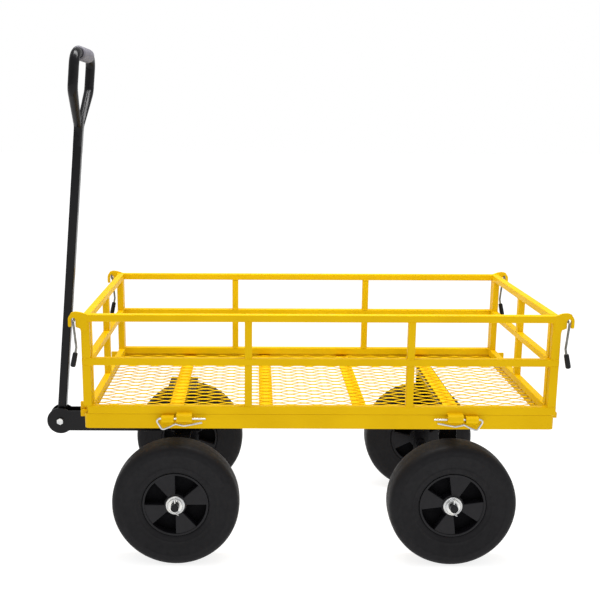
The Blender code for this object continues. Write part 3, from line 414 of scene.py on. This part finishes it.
def add_block(side):
    inner, outer_face = sorted((side * (BLOCK_Y - BLOCK_HALF), side * (BLOCK_Y + BLOCK_HALF)))
    add_bar(tray, (TRAY_HALF_LENGTH - 0.001, inner, TRAY_TOP - 0.0115),
            (END_PIN_X + 0.004, outer_face, TRAY_TOP - 0.0005), 0.0010)
    left, right = sorted((side * (HOOK_Y - 2 * HOOK_HALF), side * BLOCK_Y))
    add_turning(tray, [(0, left), (END_PIN_RADIUS - 0.0005, left), (END_PIN_RADIUS, left + 0.0005),
                       (END_PIN_RADIUS, right), (0, right)], (END_PIN_X, 0, END_PIN_Z), steps=20)


opposite_ends(tray, add_knuckle)
opposite_ends(tray, add_block)
bmesh.ops.remove_doubles(tray, verts=tray.verts, dist=MERGE)
show(tray, "pressed_tray", "cart_tray", yellow, ("tray_frame",))

# %% [markdown]
# The deck is expanded metal: a sheet slit in staggered rows and pulled until the slits open into diamonds.
# Every strand runs the full length in a zigzag and meets its neighbour at each turn, in a short flat bond.
# So one strand is drawn from a narrow grid, copied across with every second one slid along by half a
# diamond, and merged where they touch. The pull also tips each strand a little, which catches the light.

# %% Expanded mesh
LONG_WAY, SHORT_WAY = 0.0508, 0.0234
STRAND, MESH_SHEET, TIP, BOND_HALF = 0.0017, 0.0009, 0.0002, 0.0040
MESH_MIDDLE_Z, MESH_GAP = 0.3166, 0.001
half_x, half_y = TRAY_HALF_LENGTH - SHEET - MESH_GAP, TRAY_HALF_WIDTH - SHEET - MESH_GAP
diamonds = 2 * math.ceil(half_x / LONG_WAY) + 2
mesh_deck = bmesh.new()
bmesh.ops.create_grid(mesh_deck, x_segments=4 * diamonds, y_segments=1, size=0.5,
                      matrix=Matrix.Diagonal((diamonds * LONG_WAY, STRAND, 1, 1)))
zigzag = (SHORT_WAY / 2 - STRAND) / 2
for vert in mesh_deck.verts:
    quarter = round(vert.co.x / (LONG_WAY / 4))
    lift = 1 if quarter % 4 in (0, 1) else -1
    edge_side = 1 if vert.co.y > 0 else -1
    nudge = (LONG_WAY / 8 - BOND_HALF) * (1 if quarter % 2 == 0 else -1)
    bmesh.ops.translate(mesh_deck, verts=[vert],
                        vec=(nudge - LONG_WAY / 8, lift * zigzag, TIP * (edge_side - lift)))
first_strand = mesh_deck.verts[:] + mesh_deck.edges[:] + mesh_deck.faces[:]
rows = math.ceil(half_y / (SHORT_WAY / 2)) + 1
for row in range(-rows, rows + 1):
    copy = bmesh.ops.duplicate(mesh_deck, geom=first_strand)["geom"]
    bmesh.ops.translate(mesh_deck, verts=corners_in(copy),
                        vec=(LONG_WAY / 2 * (row % 2), row * SHORT_WAY / 2, 0))
bmesh.ops.delete(mesh_deck, geom=corners_in(first_strand), context="VERTS")
bmesh.ops.remove_doubles(mesh_deck, verts=mesh_deck.verts, dist=0.00002)
for point, normal in (((half_x, 0, 0), (1, 0, 0)), ((-half_x, 0, 0), (-1, 0, 0)),
                      ((0, half_y, 0), (0, 1, 0)), ((0, -half_y, 0), (0, -1, 0))):
    bmesh.ops.bisect_plane(mesh_deck, geom=mesh_deck.verts[:] + mesh_deck.edges[:] + mesh_deck.faces[:],
                           plane_co=point, plane_no=normal, clear_outer=True)
thick = bmesh.ops.extrude_face_region(mesh_deck, geom=mesh_deck.faces[:])["geom"]
bmesh.ops.translate(mesh_deck, verts=corners_in(thick), vec=(0, 0, MESH_SHEET))
bmesh.ops.translate(mesh_deck, verts=mesh_deck.verts, vec=(0, 0, MESH_MIDDLE_Z - MESH_SHEET / 2))
show(mesh_deck, "expanded_mesh", "cart_tray", yellow, ("deck_mesh",), crease=30)

# %% [markdown]
# The panels are square tube, cut and welded. Long rails run through and short posts stand between them,
# a hair thinner than the rails, so each joint shows as a step with a small bead of weld on it. A bead is
# a row of overlapping puddles, which a wire with a swelling section gives.

# %% Weld beads
SWELL = 1.45


def add_weld(shape, start, end, size=0.0013, puddles=5):
    start, end = Vector(start), Vector(end)
    face = round_section(shape, start, end - start, size * 0.6, 6)
    for step in range(1, 2 * puddles + 1):
        moved, face = push(shape, face, (end - start) / (2 * puddles))
        swell = SWELL if step % 2 else 1 / SWELL
        here = start + (end - start) * step / (2 * puddles)
        bmesh.ops.scale(shape, verts=moved, vec=(swell,) * 3, space=Matrix.Translation(-here))


# %% [markdown]
# A side panel has three rails, four posts, a hinge tab near each end and an ear at each top corner for a
# latch lever. One function draws it in its place on the near side. The far one is the same panel turned
# half way round, and so its posts stand where the near one's do not.

# %% Side panels
TUBE = 0.014
POST_INSET, POST_LAP, POST_ROUNDING = 0.0003, 0.001, 0.0014
RAILS = ((0.3208, 0.3365), (0.4170, 0.4310), (0.5020, 0.5160))
LEVELS = [(below, above) for (_, below), (above, _) in zip(RAILS, RAILS[1:])]
PANEL_END, PANEL_FACE = 0.453, 0.231
BOTTOM_RAIL_SHORT = 0.008
CORNER_POST = 0.0165
MIDDLE_POSTS = (-0.1368, 0.1720)
EAR_X, EAR_Z, EAR_RADIUS, EAR_THICK = 0.462, 0.5055, 0.0140, 0.005
EAR_FRONT = -PANEL_FACE - 0.0005
SLOT = 0.0080
TAB_X, TAB_HALF, TAB_UNDER, TAB_TOP = 0.259, 0.015, 0.3225, 0.3248
WELD_IN, WELD_END = 0.0006, 0.001


def add_ear(shape, side):
    """A plate that curls over the lever's wire: a neck by the post, a slot open below and a finger."""
    neck = [(-0.0105, -0.0260), (-0.0085, -0.0170), (0.0, -0.0135), (0.0, 0.0)]
    over = [(SLOT / 2 * (1 - math.cos(math.pi * k / 8)), SLOT / 2 * math.sin(math.pi * k / 8))
            for k in range(1, 8)]
    finger = [(SLOT, 0.0), (SLOT, -0.0125), (SLOT + 0.001, -0.0135), (EAR_RADIUS - 0.0015, -0.0135),
              (EAR_RADIUS, -0.0120)]
    crown = [(EAR_RADIUS * math.cos(math.radians(a)), EAR_RADIUS * math.sin(math.radians(a)))
             for a in (0, 15, 30, 45)]
    brow = [(0.0080, 0.0136), (0.0025, 0.0156), (-0.0025, 0.0158), (-0.0100, 0.0148), (-0.0225, 0.0105),
            (-0.0225, -0.0200)]
    outline = [(side * (EAR_X + along), EAR_Z + up) for along, up in neck + over + finger + crown + brow]
    add_plate(shape, outline, "Y", EAR_FRONT, EAR_FRONT + EAR_THICK)


def add_tab(shape, side):
    low, high = side * TAB_X - TAB_HALF, side * TAB_X + TAB_HALF
    add_ring(shape, (0, -HINGE_Y, HINGE_Z), BARREL_BORE, BARREL, low, high, "X", 0.0006, 24)
    bend_y, root_y = -HINGE_Y - 0.0026, 0.001 - PANEL_FACE
    leaf = [(-HINGE_Y - BARREL, HINGE_Z), (bend_y, HINGE_Z), (bend_y, TAB_UNDER), (root_y, TAB_UNDER),
            (root_y, TAB_TOP), (bend_y, TAB_TOP), (-HINGE_Y - BARREL, TAB_UNDER - 0.001)]
    add_plate(shape, leaf, "X", low, high)
    bead_z = TAB_TOP + 0.0002
    add_weld(shape, (low + WELD_END, -PANEL_FACE, bead_z), (high - WELD_END, -PANEL_FACE, bead_z), 0.0011, 12)


def side_panel(name, body, node, place):
    panel = bmesh.new()
    back = TUBE - PANEL_FACE
    for number, (bottom, top) in enumerate(RAILS):
        start = -PANEL_END + (BOTTOM_RAIL_SHORT if number == 0 else 0)
        add_bar(panel, (start, -PANEL_FACE, bottom), (PANEL_END, back, top))
    posts = [(x - TUBE / 2, x + TUBE / 2) for x in MIDDLE_POSTS]
    posts += [(-PANEL_END + POST_INSET, CORNER_POST - PANEL_END), (PANEL_END - CORNER_POST, PANEL_END - POST_INSET)]
    for left, right in posts:
        for below, above in LEVELS:
            add_bar(panel, (left, POST_INSET - PANEL_FACE, below - POST_LAP),
                    (right, back - POST_INSET, above + POST_LAP), POST_ROUNDING)
            for height in (below, above):
                for y in (WELD_IN - PANEL_FACE, back - WELD_IN):
                    add_weld(panel, (left + WELD_END, y, height), (right - WELD_END, y, height))
    for side in (-1, 1):
        add_ear(panel, side)
        add_tab(panel, side)
    show(panel, name, body, yellow, (node,), place=place)


side_panel("near_side_tubes", "near_side", "near_side_panel", AT_TRAY)
side_panel("far_side_tubes", "far_side", "far_side_panel", AT_TRAY @ HALF_TURN)

# %% [markdown]
# The end panels stand between the side ones and hang on the stub pins by two hooks each. They are the
# same panel at both ends, with one post in the middle.

# %% End panels
END_FACE, END_HALF = 0.4495, 0.215
HOOK_ROOT, HOOK_THROAT, HOOK_OUT = END_FACE - 0.0025, END_FACE + 0.0035, END_PIN_X + 0.007
HOOK_PLAY, HOOK_RISE, HOOK_DROP, HOOK_FOOT = 0.0035, 0.0165, 0.0045, 0.3230


def add_hook(shape, side):
    low, high = sorted((side * (HOOK_Y - HOOK_HALF), side * (HOOK_Y + HOOK_HALF)))
    crown, tip, over = END_PIN_Z + HOOK_RISE, END_PIN_Z - HOOK_DROP, END_PIN_Z + HOOK_PLAY
    hook = [(HOOK_ROOT, crown), (HOOK_OUT, crown), (HOOK_OUT, tip), (END_PIN_X + HOOK_PLAY, tip),
            (END_PIN_X + HOOK_PLAY, over), (HOOK_THROAT, over), (HOOK_THROAT, HOOK_FOOT), (HOOK_ROOT, HOOK_FOOT)]
    add_plate(shape, hook, "Y", low, high)


def end_panel(name, body, node, place):
    panel = bmesh.new()
    back = END_FACE - TUBE
    for bottom, top in RAILS:
        add_bar(panel, (back, -END_HALF, bottom), (END_FACE, END_HALF, top))
    posts = ((POST_INSET - END_HALF, TUBE - END_HALF), (-TUBE / 2, TUBE / 2),
             (END_HALF - TUBE, END_HALF - POST_INSET))
    for left, right in posts:
        for below, above in LEVELS:
            add_bar(panel, (back + POST_INSET, left, below - POST_LAP),
                    (END_FACE - POST_INSET, right, above + POST_LAP), POST_ROUNDING)
            for height in (below, above):
                for x in (back + WELD_IN, END_FACE - WELD_IN):
                    add_weld(panel, (x, left + WELD_END, height), (x, right - WELD_END, height))
    for side in (-1, 1):
        add_hook(panel, side)
    show(panel, name, body, yellow, (node,), place=place)


end_panel("rear_gate_tubes", "rear_gate", "rear_panel", AT_TRAY)
end_panel("front_gate_tubes", "front_gate", "front_panel", AT_TRAY @ HALF_TURN)

# %% [markdown]
# The spring clips are 4 mm wire. The straight leg is the hinge pin, and the wavy leg springs back below the
# barrels to hold it there. The latch levers are wire through the ears' slots, with dipped vinyl grips.

# %% Clips and latch levers
CLIP_BENDS = ((-0.0730, 0.0), (0.0235, 0.0), (0.0105, 0.0220), (-0.0020, 0.0170), (-0.0145, 0.0103),
              (-0.0310, 0.0140), (-0.0450, 0.0115), (-0.0660, 0.0075))
LEVER_BENDS = ((-0.0043, 0.0500), (-0.0023, 0.0605), (0.0030, 0.0845))
LEVER_GRIP = ((-0.0023, 0.0605), (0.0037, 0.0880))
CLIP_RADIUS, CLIP_BEND, CLIP_SIDES = 0.0020, 0.0045, 12
LEVER_RADIUS, LEVER_PLAY, LEVER_STUB = 0.0022, 0.0012, 0.009
LEVER_X, LEVER_Z = EAR_X + 0.0035, EAR_Z - 0.0020
lever_outside = EAR_FRONT - LEVER_PLAY - LEVER_RADIUS
lever_inside = EAR_FRONT + EAR_THICK + LEVER_PLAY + LEVER_RADIUS


def clip(flank, end, side, place):
    wire = bmesh.new()
    add_wire(wire, [(side * (KNUCKLE_X + along), -HINGE_Y, HINGE_Z - drop) for along, drop in CLIP_BENDS],
             CLIP_RADIUS, CLIP_BEND, CLIP_SIDES, 7)
    ends = [face for face in wire.faces if len(face.verts) == CLIP_SIDES]
    roll_edges(wire, {edge for face in ends for edge in face.edges}, 0.0005, 2)
    show(wire, f"{flank}_{end}_clip_wire", "cart_tray", zinc, (f"{flank}_{end}_r_clip",), place=place)


def lever(flank, end, side, place):
    def down(drop):
        return Vector((side * (LEVER_X + drop[0]), lever_outside, LEVER_Z - drop[1]))

    body = f"{flank}_{end}_latch"
    wire = bmesh.new()
    start = [(side * LEVER_X, lever_inside, LEVER_Z + LEVER_STUB), (side * LEVER_X, lever_inside, LEVER_Z),
             down((0, 0))]
    add_wire(wire, start + [down(drop) for drop in LEVER_BENDS], LEVER_RADIUS, 0.0030, 14, 7)
    show(wire, f"{body}_wire", body, dull_zinc, (f"{body}_lever",), place=place)

    grip = bmesh.new()
    top, end_point = down(LEVER_GRIP[0]), down(LEVER_GRIP[1])
    length = (end_point - top).length
    profile = [(0.0, 0.0), (0.0036, 0.0), (0.0044, 0.0006), (0.0047, 0.0020), (0.0050, length * 0.55),
               (0.0050, length - 0.0030), (0.0044, length - 0.0012), (0.0030, length - 0.0002), (0.0, length)]
    add_turning(grip, profile, (0, 0, 0), "Z", 28)
    bmesh.ops.remove_doubles(grip, verts=grip.verts, dist=MERGE)
    aim = Matrix.Translation(top) @ (end_point - top).to_track_quat("Z", "Y").to_matrix().to_4x4()
    show(grip, f"{body}_dipped_grip", body, vinyl, (f"{body}_lever_grip",), place=place @ aim)


for flank, place, way in (("near", AT_TRAY, 1), ("far", AT_TRAY @ HALF_TURN, -1)):
    for side in (-1, 1):
        end = "front" if side * way < 0 else "rear"
        clip(flank, end, side, place)
        lever(flank, end, side, place)

# %% [markdown]
# The tyres are solid rubber, moulded in two halves. The profile runs from the bead that grips the hub,
# over two faint raised bands on the sidewall, round a soft shoulder and on to the tread, where the mould's
# parting line leaves a low ridge. Spinning that profile is the same as turning the mould.

# %% Tyres
SIDEWALL = ((0.0663, 0.0205), (0.0670, 0.0226), (0.0700, 0.0242), (0.0735, 0.0252), (0.0765, 0.0258),
            (0.0772, 0.0266), (0.0800, 0.0270), (0.0808, 0.0264), (0.0850, 0.0275), (0.0950, 0.0296),
            (0.1040, 0.0310), (0.1048, 0.0316), (0.1075, 0.0318), (0.1083, 0.0313), (0.1140, 0.0314),
            (0.1180, 0.0304), (0.1212, 0.0284), (0.1238, 0.0254), (0.1254, 0.0218), (0.1263, 0.0170),
            (0.1267, 0.0100), (0.1268, 0.0006), (0.1270, 0.0))


def both_faces(half):
    """A wheel looks the same from both sides, so half a profile is finished with its mirror image."""
    return list(half) + [(radius, -along) for radius, along in reversed(half) if along]


def wheel_middle(label):
    low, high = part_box(f"{label}_tyre")
    return (low + high) / 2


def tyre(label, body):
    rubber_ring = bmesh.new()
    add_turning(rubber_ring, both_faces(SIDEWALL), wheel_middle(label), "Y", 96)
    show(rubber_ring, f"{label}_tyre_rubber", body, rubber, (f"{label}_tyre",), place=Matrix(), crease=60)


# %% [markdown]
# The hub is moulded plastic with a boss, a rim and a web half way through. Four wedges stand out from the
# web on each face and leave deep pockets between them, with the dull web at their bottom, whose darker
# colour is painted shade. Each wedge is its side view spun through part of a turn, with its edges rolled as a mould
# rolls them.

# %% Hubs
HUB_TURNS = {"front_near": 0, "rear_near": 56, "front_far": 30, "rear_far": 75}
SPOKE_ANGLE = 42
HUB_RADIUS, HUB_HALF, BOSS_RADIUS, RIM_INSIDE, BORE = 0.0660, 0.0230, 0.0220, 0.0615, 0.0128
WEB_HALF = 0.004
WEB_ROOT, WEDGE_TIP = BOSS_RADIUS - 0.001, RIM_INSIDE + 0.0008


def hub(label, body):
    moulding = bmesh.new()
    middle = wheel_middle(label)
    boss = ((BORE, -HUB_HALF), (BOSS_RADIUS - 0.001, -HUB_HALF), (BOSS_RADIUS, 0.001 - HUB_HALF),
            (BOSS_RADIUS + 0.0015, 0.0))
    add_turning(moulding, both_faces(boss), middle, "Y", 64)
    rim = ((RIM_INSIDE, 0.0005 - HUB_HALF), (RIM_INSIDE + 0.0006, -HUB_HALF),
           (HUB_RADIUS - 0.0006, -HUB_HALF), (HUB_RADIUS, 0.0008 - HUB_HALF))
    add_turning(moulding, both_faces(rim), middle, "Y", 96)
    for quarter in range(4):
        start = math.radians(HUB_TURNS[label] + 90 * quarter)
        wedge = both_faces(((WEB_ROOT, 0.0006 - HUB_HALF), (WEDGE_TIP, 0.0014 - HUB_HALF)))
        face = moulding.faces.new([moulding.verts.new(
            middle + Vector((math.cos(start) * radius, along, math.sin(start) * radius)))
            for radius, along in wedge])
        sides = list(face.edges)
        swept = bmesh.ops.spin(moulding, geom=[face], cent=middle, axis=(0, -1, 0),
                               angle=math.radians(SPOKE_ANGLE), steps=10)["geom_last"]
        sides += [edge for last in faces_in(swept) for edge in last.edges]
        roll_edges(moulding, sides, 0.0016, 3)
    show(moulding, f"{label}_hub_moulding", body, hub_plastic, (f"{label}_hub",), place=Matrix())

    # The web at the bottom of the pockets is its own piece in the darker plastic, which is painted shade.
    web = bmesh.new()
    add_turning(web, both_faces(((WEB_ROOT, -WEB_HALF), (RIM_INSIDE + 0.001, -WEB_HALF))), middle, "Y", 64)
    show(web, f"{label}_hub_web", body, dull_plastic_painted_shade, (f"{label}_hub",), place=Matrix())


# %% [markdown]
# Between hub and axle sits a steel bush with a broad flange, the bright disc in the middle of each wheel.
# A washer lies on it, and a split pin through the axle's end keeps both on.

# %% Bushes, washers and split pins
FLANGE_RADIUS, FLANGE_THICKNESS = 0.0190, 0.003
JOURNAL, SLEEVE_RADIUS, WASHER_RADIUS = 0.0085, 0.0125, 0.0145
PIN_RADIUS, PIN_BEND = 0.0013, 0.0017


def bush(label, body, side):
    """A sleeve with a flange on the outer side, which has a shallow groove turned in its face."""
    sleeve = bmesh.new()
    middle = wheel_middle(label)
    step, face = HUB_HALF + 0.0003, HUB_HALF + 0.0003 + FLANGE_THICKNESS
    profile = [(JOURNAL, -HUB_HALF), (SLEEVE_RADIUS, -HUB_HALF), (SLEEVE_RADIUS, step),
               (FLANGE_RADIUS - 0.0006, step), (FLANGE_RADIUS, step + 0.0006),
               (FLANGE_RADIUS, face - 0.0010), (FLANGE_RADIUS - 0.0010, face),
               (0.0166, face), (0.0160, face - 0.0006), (0.0152, face - 0.0006), (0.0146, face), (JOURNAL, face)]
    add_turning(sleeve, [(radius, side * along) for radius, along in profile], middle, "Y", 64)
    show(sleeve, f"{label}_flanged_bush", body, zinc, (f"{label}_bush",), place=Matrix())


def keeper(label, body):
    washer_low, washer_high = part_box(f"{label}_washer")
    middle = wheel_middle(label)
    washer = bmesh.new()
    add_ring(washer, (middle.x, 0, middle.z), JOURNAL, WASHER_RADIUS, washer_low.y, washer_high.y, steps=56)
    show(washer, f"{label}_plain_washer", body, zinc, (f"{label}_washer",), place=Matrix())

    pin_low, pin_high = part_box(f"{label}_cotter")
    y = (pin_low.y + pin_high.y) / 2
    x, z = middle.x, middle.z
    pin = bmesh.new()
    add_wire(pin, [(x + 0.0035, y, z + 0.0125), (x + 0.0035, y, z + 0.0175), (x, y, z + 0.0175),
                   (x, y, z - 0.0115), (x + 0.007, y, z - 0.0160)], PIN_RADIUS, PIN_BEND, 10, 5)
    show(pin, f"{label}_split_pin", body, zinc, (f"{label}_cotter",), place=Matrix())


for label in ("front_near", "front_far", "rear_near", "rear_far"):
    side = -1 if "near" in label else 1
    turning, standing = f"{label}_wheel", "front_axle_unit" if "front" in label else "cart_tray"
    tyre(label, turning)
    hub(label, turning)
    bush(label, turning, side)
    keeper(label, standing)

# %% [markdown]
# The tongue is a channel of folded plate, open at the top, whose cheeks end in round eyes for the
# handle's bolt. A cheek is one outline, a strip that runs into a disc, and the channel's floor joins the
# two of them.

# %% Tongue fork
fork_low, fork_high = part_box("tongue_fork")
FORK_TOP, FORK_BOTTOM, FORK_HALF, CHEEK = 0.2543, 0.2099, 0.0175, 0.004
EYE_RADIUS = (fork_high.z - fork_low.z) / 2
PIVOT = Vector((fork_low.x + EYE_RADIUS, 0, (FORK_TOP + FORK_BOTTOM) / 2))
fork = bmesh.new()
meets = math.asin((FORK_TOP - FORK_BOTTOM) / 2 / EYE_RADIUS)
round_end = [meets + (math.tau - 2 * meets) * k / 40 for k in range(41)]
for side in (-1, 1):
    inner, face = sorted((side * (FORK_HALF - CHEEK), side * FORK_HALF))
    cheek = [(PIVOT.x + EYE_RADIUS * math.cos(a), PIVOT.z + EYE_RADIUS * math.sin(a)) for a in round_end]
    add_plate(fork, cheek + [(fork_high.x, FORK_BOTTOM), (fork_high.x, FORK_TOP)], "Y", inner, face, 0.0010)
add_bar(fork, (PIVOT.x + EYE_RADIUS - 0.002, CHEEK / 2 - FORK_HALF, FORK_BOTTOM),
        (fork_high.x - 0.001, FORK_HALF - CHEEK / 2, FORK_BOTTOM + CHEEK), 0.0008)
show(fork, "tongue_channel", "front_axle_unit", black_paint, ("tongue_fork",), place=Matrix())

# %% [markdown]
# The handle is a length of square tube with a bent round tube bolted to its top. It leans back over the
# tray, so it is drawn upright in its own frame, from the pivot, and then tipped. The arms of the loop are
# flattened where they are bolted, which here is a squeeze of the finished tube. The grip is a ridged sleeve.

# %% Handle shaft
LEAN = math.radians(5.45)
AT_HANDLE = Matrix.Translation(PIVOT) @ Matrix.Rotation(LEAN, 4, "Y")
SHAFT, SHAFT_LENGTH, SHAFT_BELOW = 0.0180, 0.639, 0.0125
shaft = bmesh.new()
add_bar(shaft, (-SHAFT / 2, -SHAFT / 2, -SHAFT_BELOW), (SHAFT / 2, SHAFT / 2, SHAFT_LENGTH), 0.0022)
show(shaft, "shaft_tube", "tow_handle", black_paint, ("handle_shaft",), place=AT_HANDLE)

# %% Handle loop
LOOP_TUBE, LOOP_HALF, SHOULDER, GRIP_HEIGHT = 0.0100, 0.0870, 0.7025, 0.7735
ARM_BESIDE, ARM_BOTTOM, ARM_BEND = 0.0128, 0.590, 0.629
FLAT_HALF_WIDTH, FLAT_HALF_THICKNESS = 0.0080, 0.0035
FLAT_TOP, ROUND_FROM = SHAFT_LENGTH - 0.004, SHAFT_LENGTH + 0.026
loop = bmesh.new()
near_arm = [(0, -ARM_BESIDE, ARM_BOTTOM), (0, -ARM_BESIDE, ARM_BEND), (0, -LOOP_HALF, SHOULDER),
            (0, -LOOP_HALF, GRIP_HEIGHT)]
splay = (LOOP_HALF - ARM_BESIDE) / (SHOULDER - ARM_BEND)
far_arm = [(x, -y, z) for x, y, z in reversed(near_arm)]
add_wire(loop, near_arm + far_arm, LOOP_TUBE, 0.024, 28, 10)
for vert in loop.verts:
    squeeze = min(max((ROUND_FROM - vert.co.z) / (ROUND_FROM - FLAT_TOP), 0), 1)
    if squeeze and abs(vert.co.y) < 0.05:
        arm_y = math.copysign(ARM_BESIDE + max(vert.co.z - ARM_BEND, 0) * splay, vert.co.y)
        vert.co.y = arm_y + (vert.co.y - arm_y) * (1 - squeeze * (1 - FLAT_HALF_THICKNESS / LOOP_TUBE))
        vert.co.x *= 1 - squeeze * (1 - FLAT_HALF_WIDTH / LOOP_TUBE)
show(loop, "loop_tube", "tow_handle", black_paint, ("handle_loop",), place=AT_HANDLE, crease=60)

# %% Grip sleeve
GRIP_RADIUS, GRIP_HALF, GRIP_BORE = 0.0142, 0.050, LOOP_TUBE + 0.0004
RIDGE_DEPTH, RIDGE_STEP, RIDGED_HALF = 0.0004, 0.0025, 0.040
sleeve = bmesh.new()
ridge = [(GRIP_RADIUS - RIDGE_DEPTH * (k % 2), RIDGE_STEP * k - RIDGED_HALF) for k in range(33)]
rolled_end = [(GRIP_BORE, GRIP_HALF), (GRIP_RADIUS - 0.0030, GRIP_HALF),
              (GRIP_RADIUS - 0.0008, GRIP_HALF - 0.0012), (GRIP_RADIUS, GRIP_HALF - 0.0032)]
profile = [(radius, -along) for radius, along in rolled_end] + ridge + rolled_end[::-1]
add_turning(sleeve, profile, (0, 0, GRIP_HEIGHT), "Y", 48)
show(sleeve, "grip_sleeve", "tow_handle", grey_grip, ("handle_grip",), place=AT_HANDLE, crease=60)

# %% [markdown]
# The cart stands on a white acrylic floor that is lit from below, as a product table is, so its shadow
# nearly drowns. A broad soft light comes from overhead, and a softbox hangs above the load space and
# reaches the inner faces of the panels. The surroundings are white to look at but light the cart less than
# that, so that its own shading stays readable.

# %% Floor and lights
floor_finish = new_finish("lit_floor", (0.36, 0.36, 0.36), 0.9, specular=0.05)
spread_colour(floor_finish, grain(floor_finish, 2.0, 2), (0.35, 0.35, 0.35), (0.37, 0.37, 0.37))
floor_shader = floor_finish.node_tree.nodes["Principled BSDF"]
floor_shader.inputs["Emission Color"].default_value = (1, 1, 1, 1)
floor_shader.inputs["Emission Strength"].default_value = 0.82
floor_shape = bmesh.new()
bmesh.ops.create_grid(floor_shape, x_segments=1, y_segments=1, size=20.0)
floor_mesh = bpy.data.meshes.new("lit_floor")
floor_shape.to_mesh(floor_mesh)
floor_shape.free()
floor_mesh.materials.append(floor_finish)
floor = bpy.data.objects.new("lit_floor", floor_mesh)
bpy.context.scene.collection.objects.link(floor)


def lamp(name, kind, location, towards, energy):
    light = bpy.data.lights.new(name, kind)
    light.energy = energy
    holder = bpy.data.objects.new(name, light)
    holder.location = location
    holder.rotation_euler = Vector(towards).to_track_quat("-Z", "Y").to_euler()
    bpy.context.scene.collection.objects.link(holder)
    return light


overhead = lamp("overhead", "SUN", (0, 0, 3), (0.05, 0.15, -1), 0.75)
overhead.angle = math.radians(50)
softbox = lamp("softbox", "AREA", (0.05, -0.12, 1.75), (0, 0.05, -1), 21)
softbox.shape, softbox.size, softbox.size_y = "RECTANGLE", 1.3, 0.35
surroundings = bpy.data.worlds.new("white_surroundings")
surroundings.use_nodes = True
nodes, links = surroundings.node_tree.nodes, surroundings.node_tree.links
seen, lit = nodes["Background"], nodes.new("ShaderNodeBackground")
seen.inputs["Color"].default_value = lit.inputs["Color"].default_value = (1, 1, 1, 1)
seen.inputs["Strength"].default_value, lit.inputs["Strength"].default_value = 1.0, 0.55
either = nodes.new("ShaderNodeMixShader")
links.new(nodes.new("ShaderNodeLightPath").outputs["Is Camera Ray"], either.inputs["Fac"])
links.new(lit.outputs["Background"], either.inputs[1])
links.new(seen.outputs["Background"], either.inputs[2])
links.new(either.outputs["Shader"], nodes["World Output"].inputs["Surface"])
bpy.context.scene.world = surroundings
bpy.context.scene.view_settings.view_transform = "Standard"

# %% [markdown]
# The camera stands not quite two metres back with a moderately long lens, a little below the handle's grip
# and looking slightly down, so the near side panel is seen flat on and the deck shows through it.

# %% Camera
eye = bpy.data.cameras.new("camera")
eye.sensor_width, eye.lens, eye.shift_x, eye.shift_y = 36.0, 54.0, 0.0727, 0.0028
camera = bpy.data.objects.new("camera", eye)
look_down, roll = math.radians(11.63), math.radians(0.2)
camera.matrix_world = (Matrix.Translation((tray_middle_x - 0.122, -1.879, 0.881))
                       @ Matrix.Rotation(math.radians(90) - look_down, 4, "X") @ Matrix.Rotation(roll, 4, "Z"))
bpy.context.scene.collection.objects.link(camera)
bpy.context.scene.camera = camera
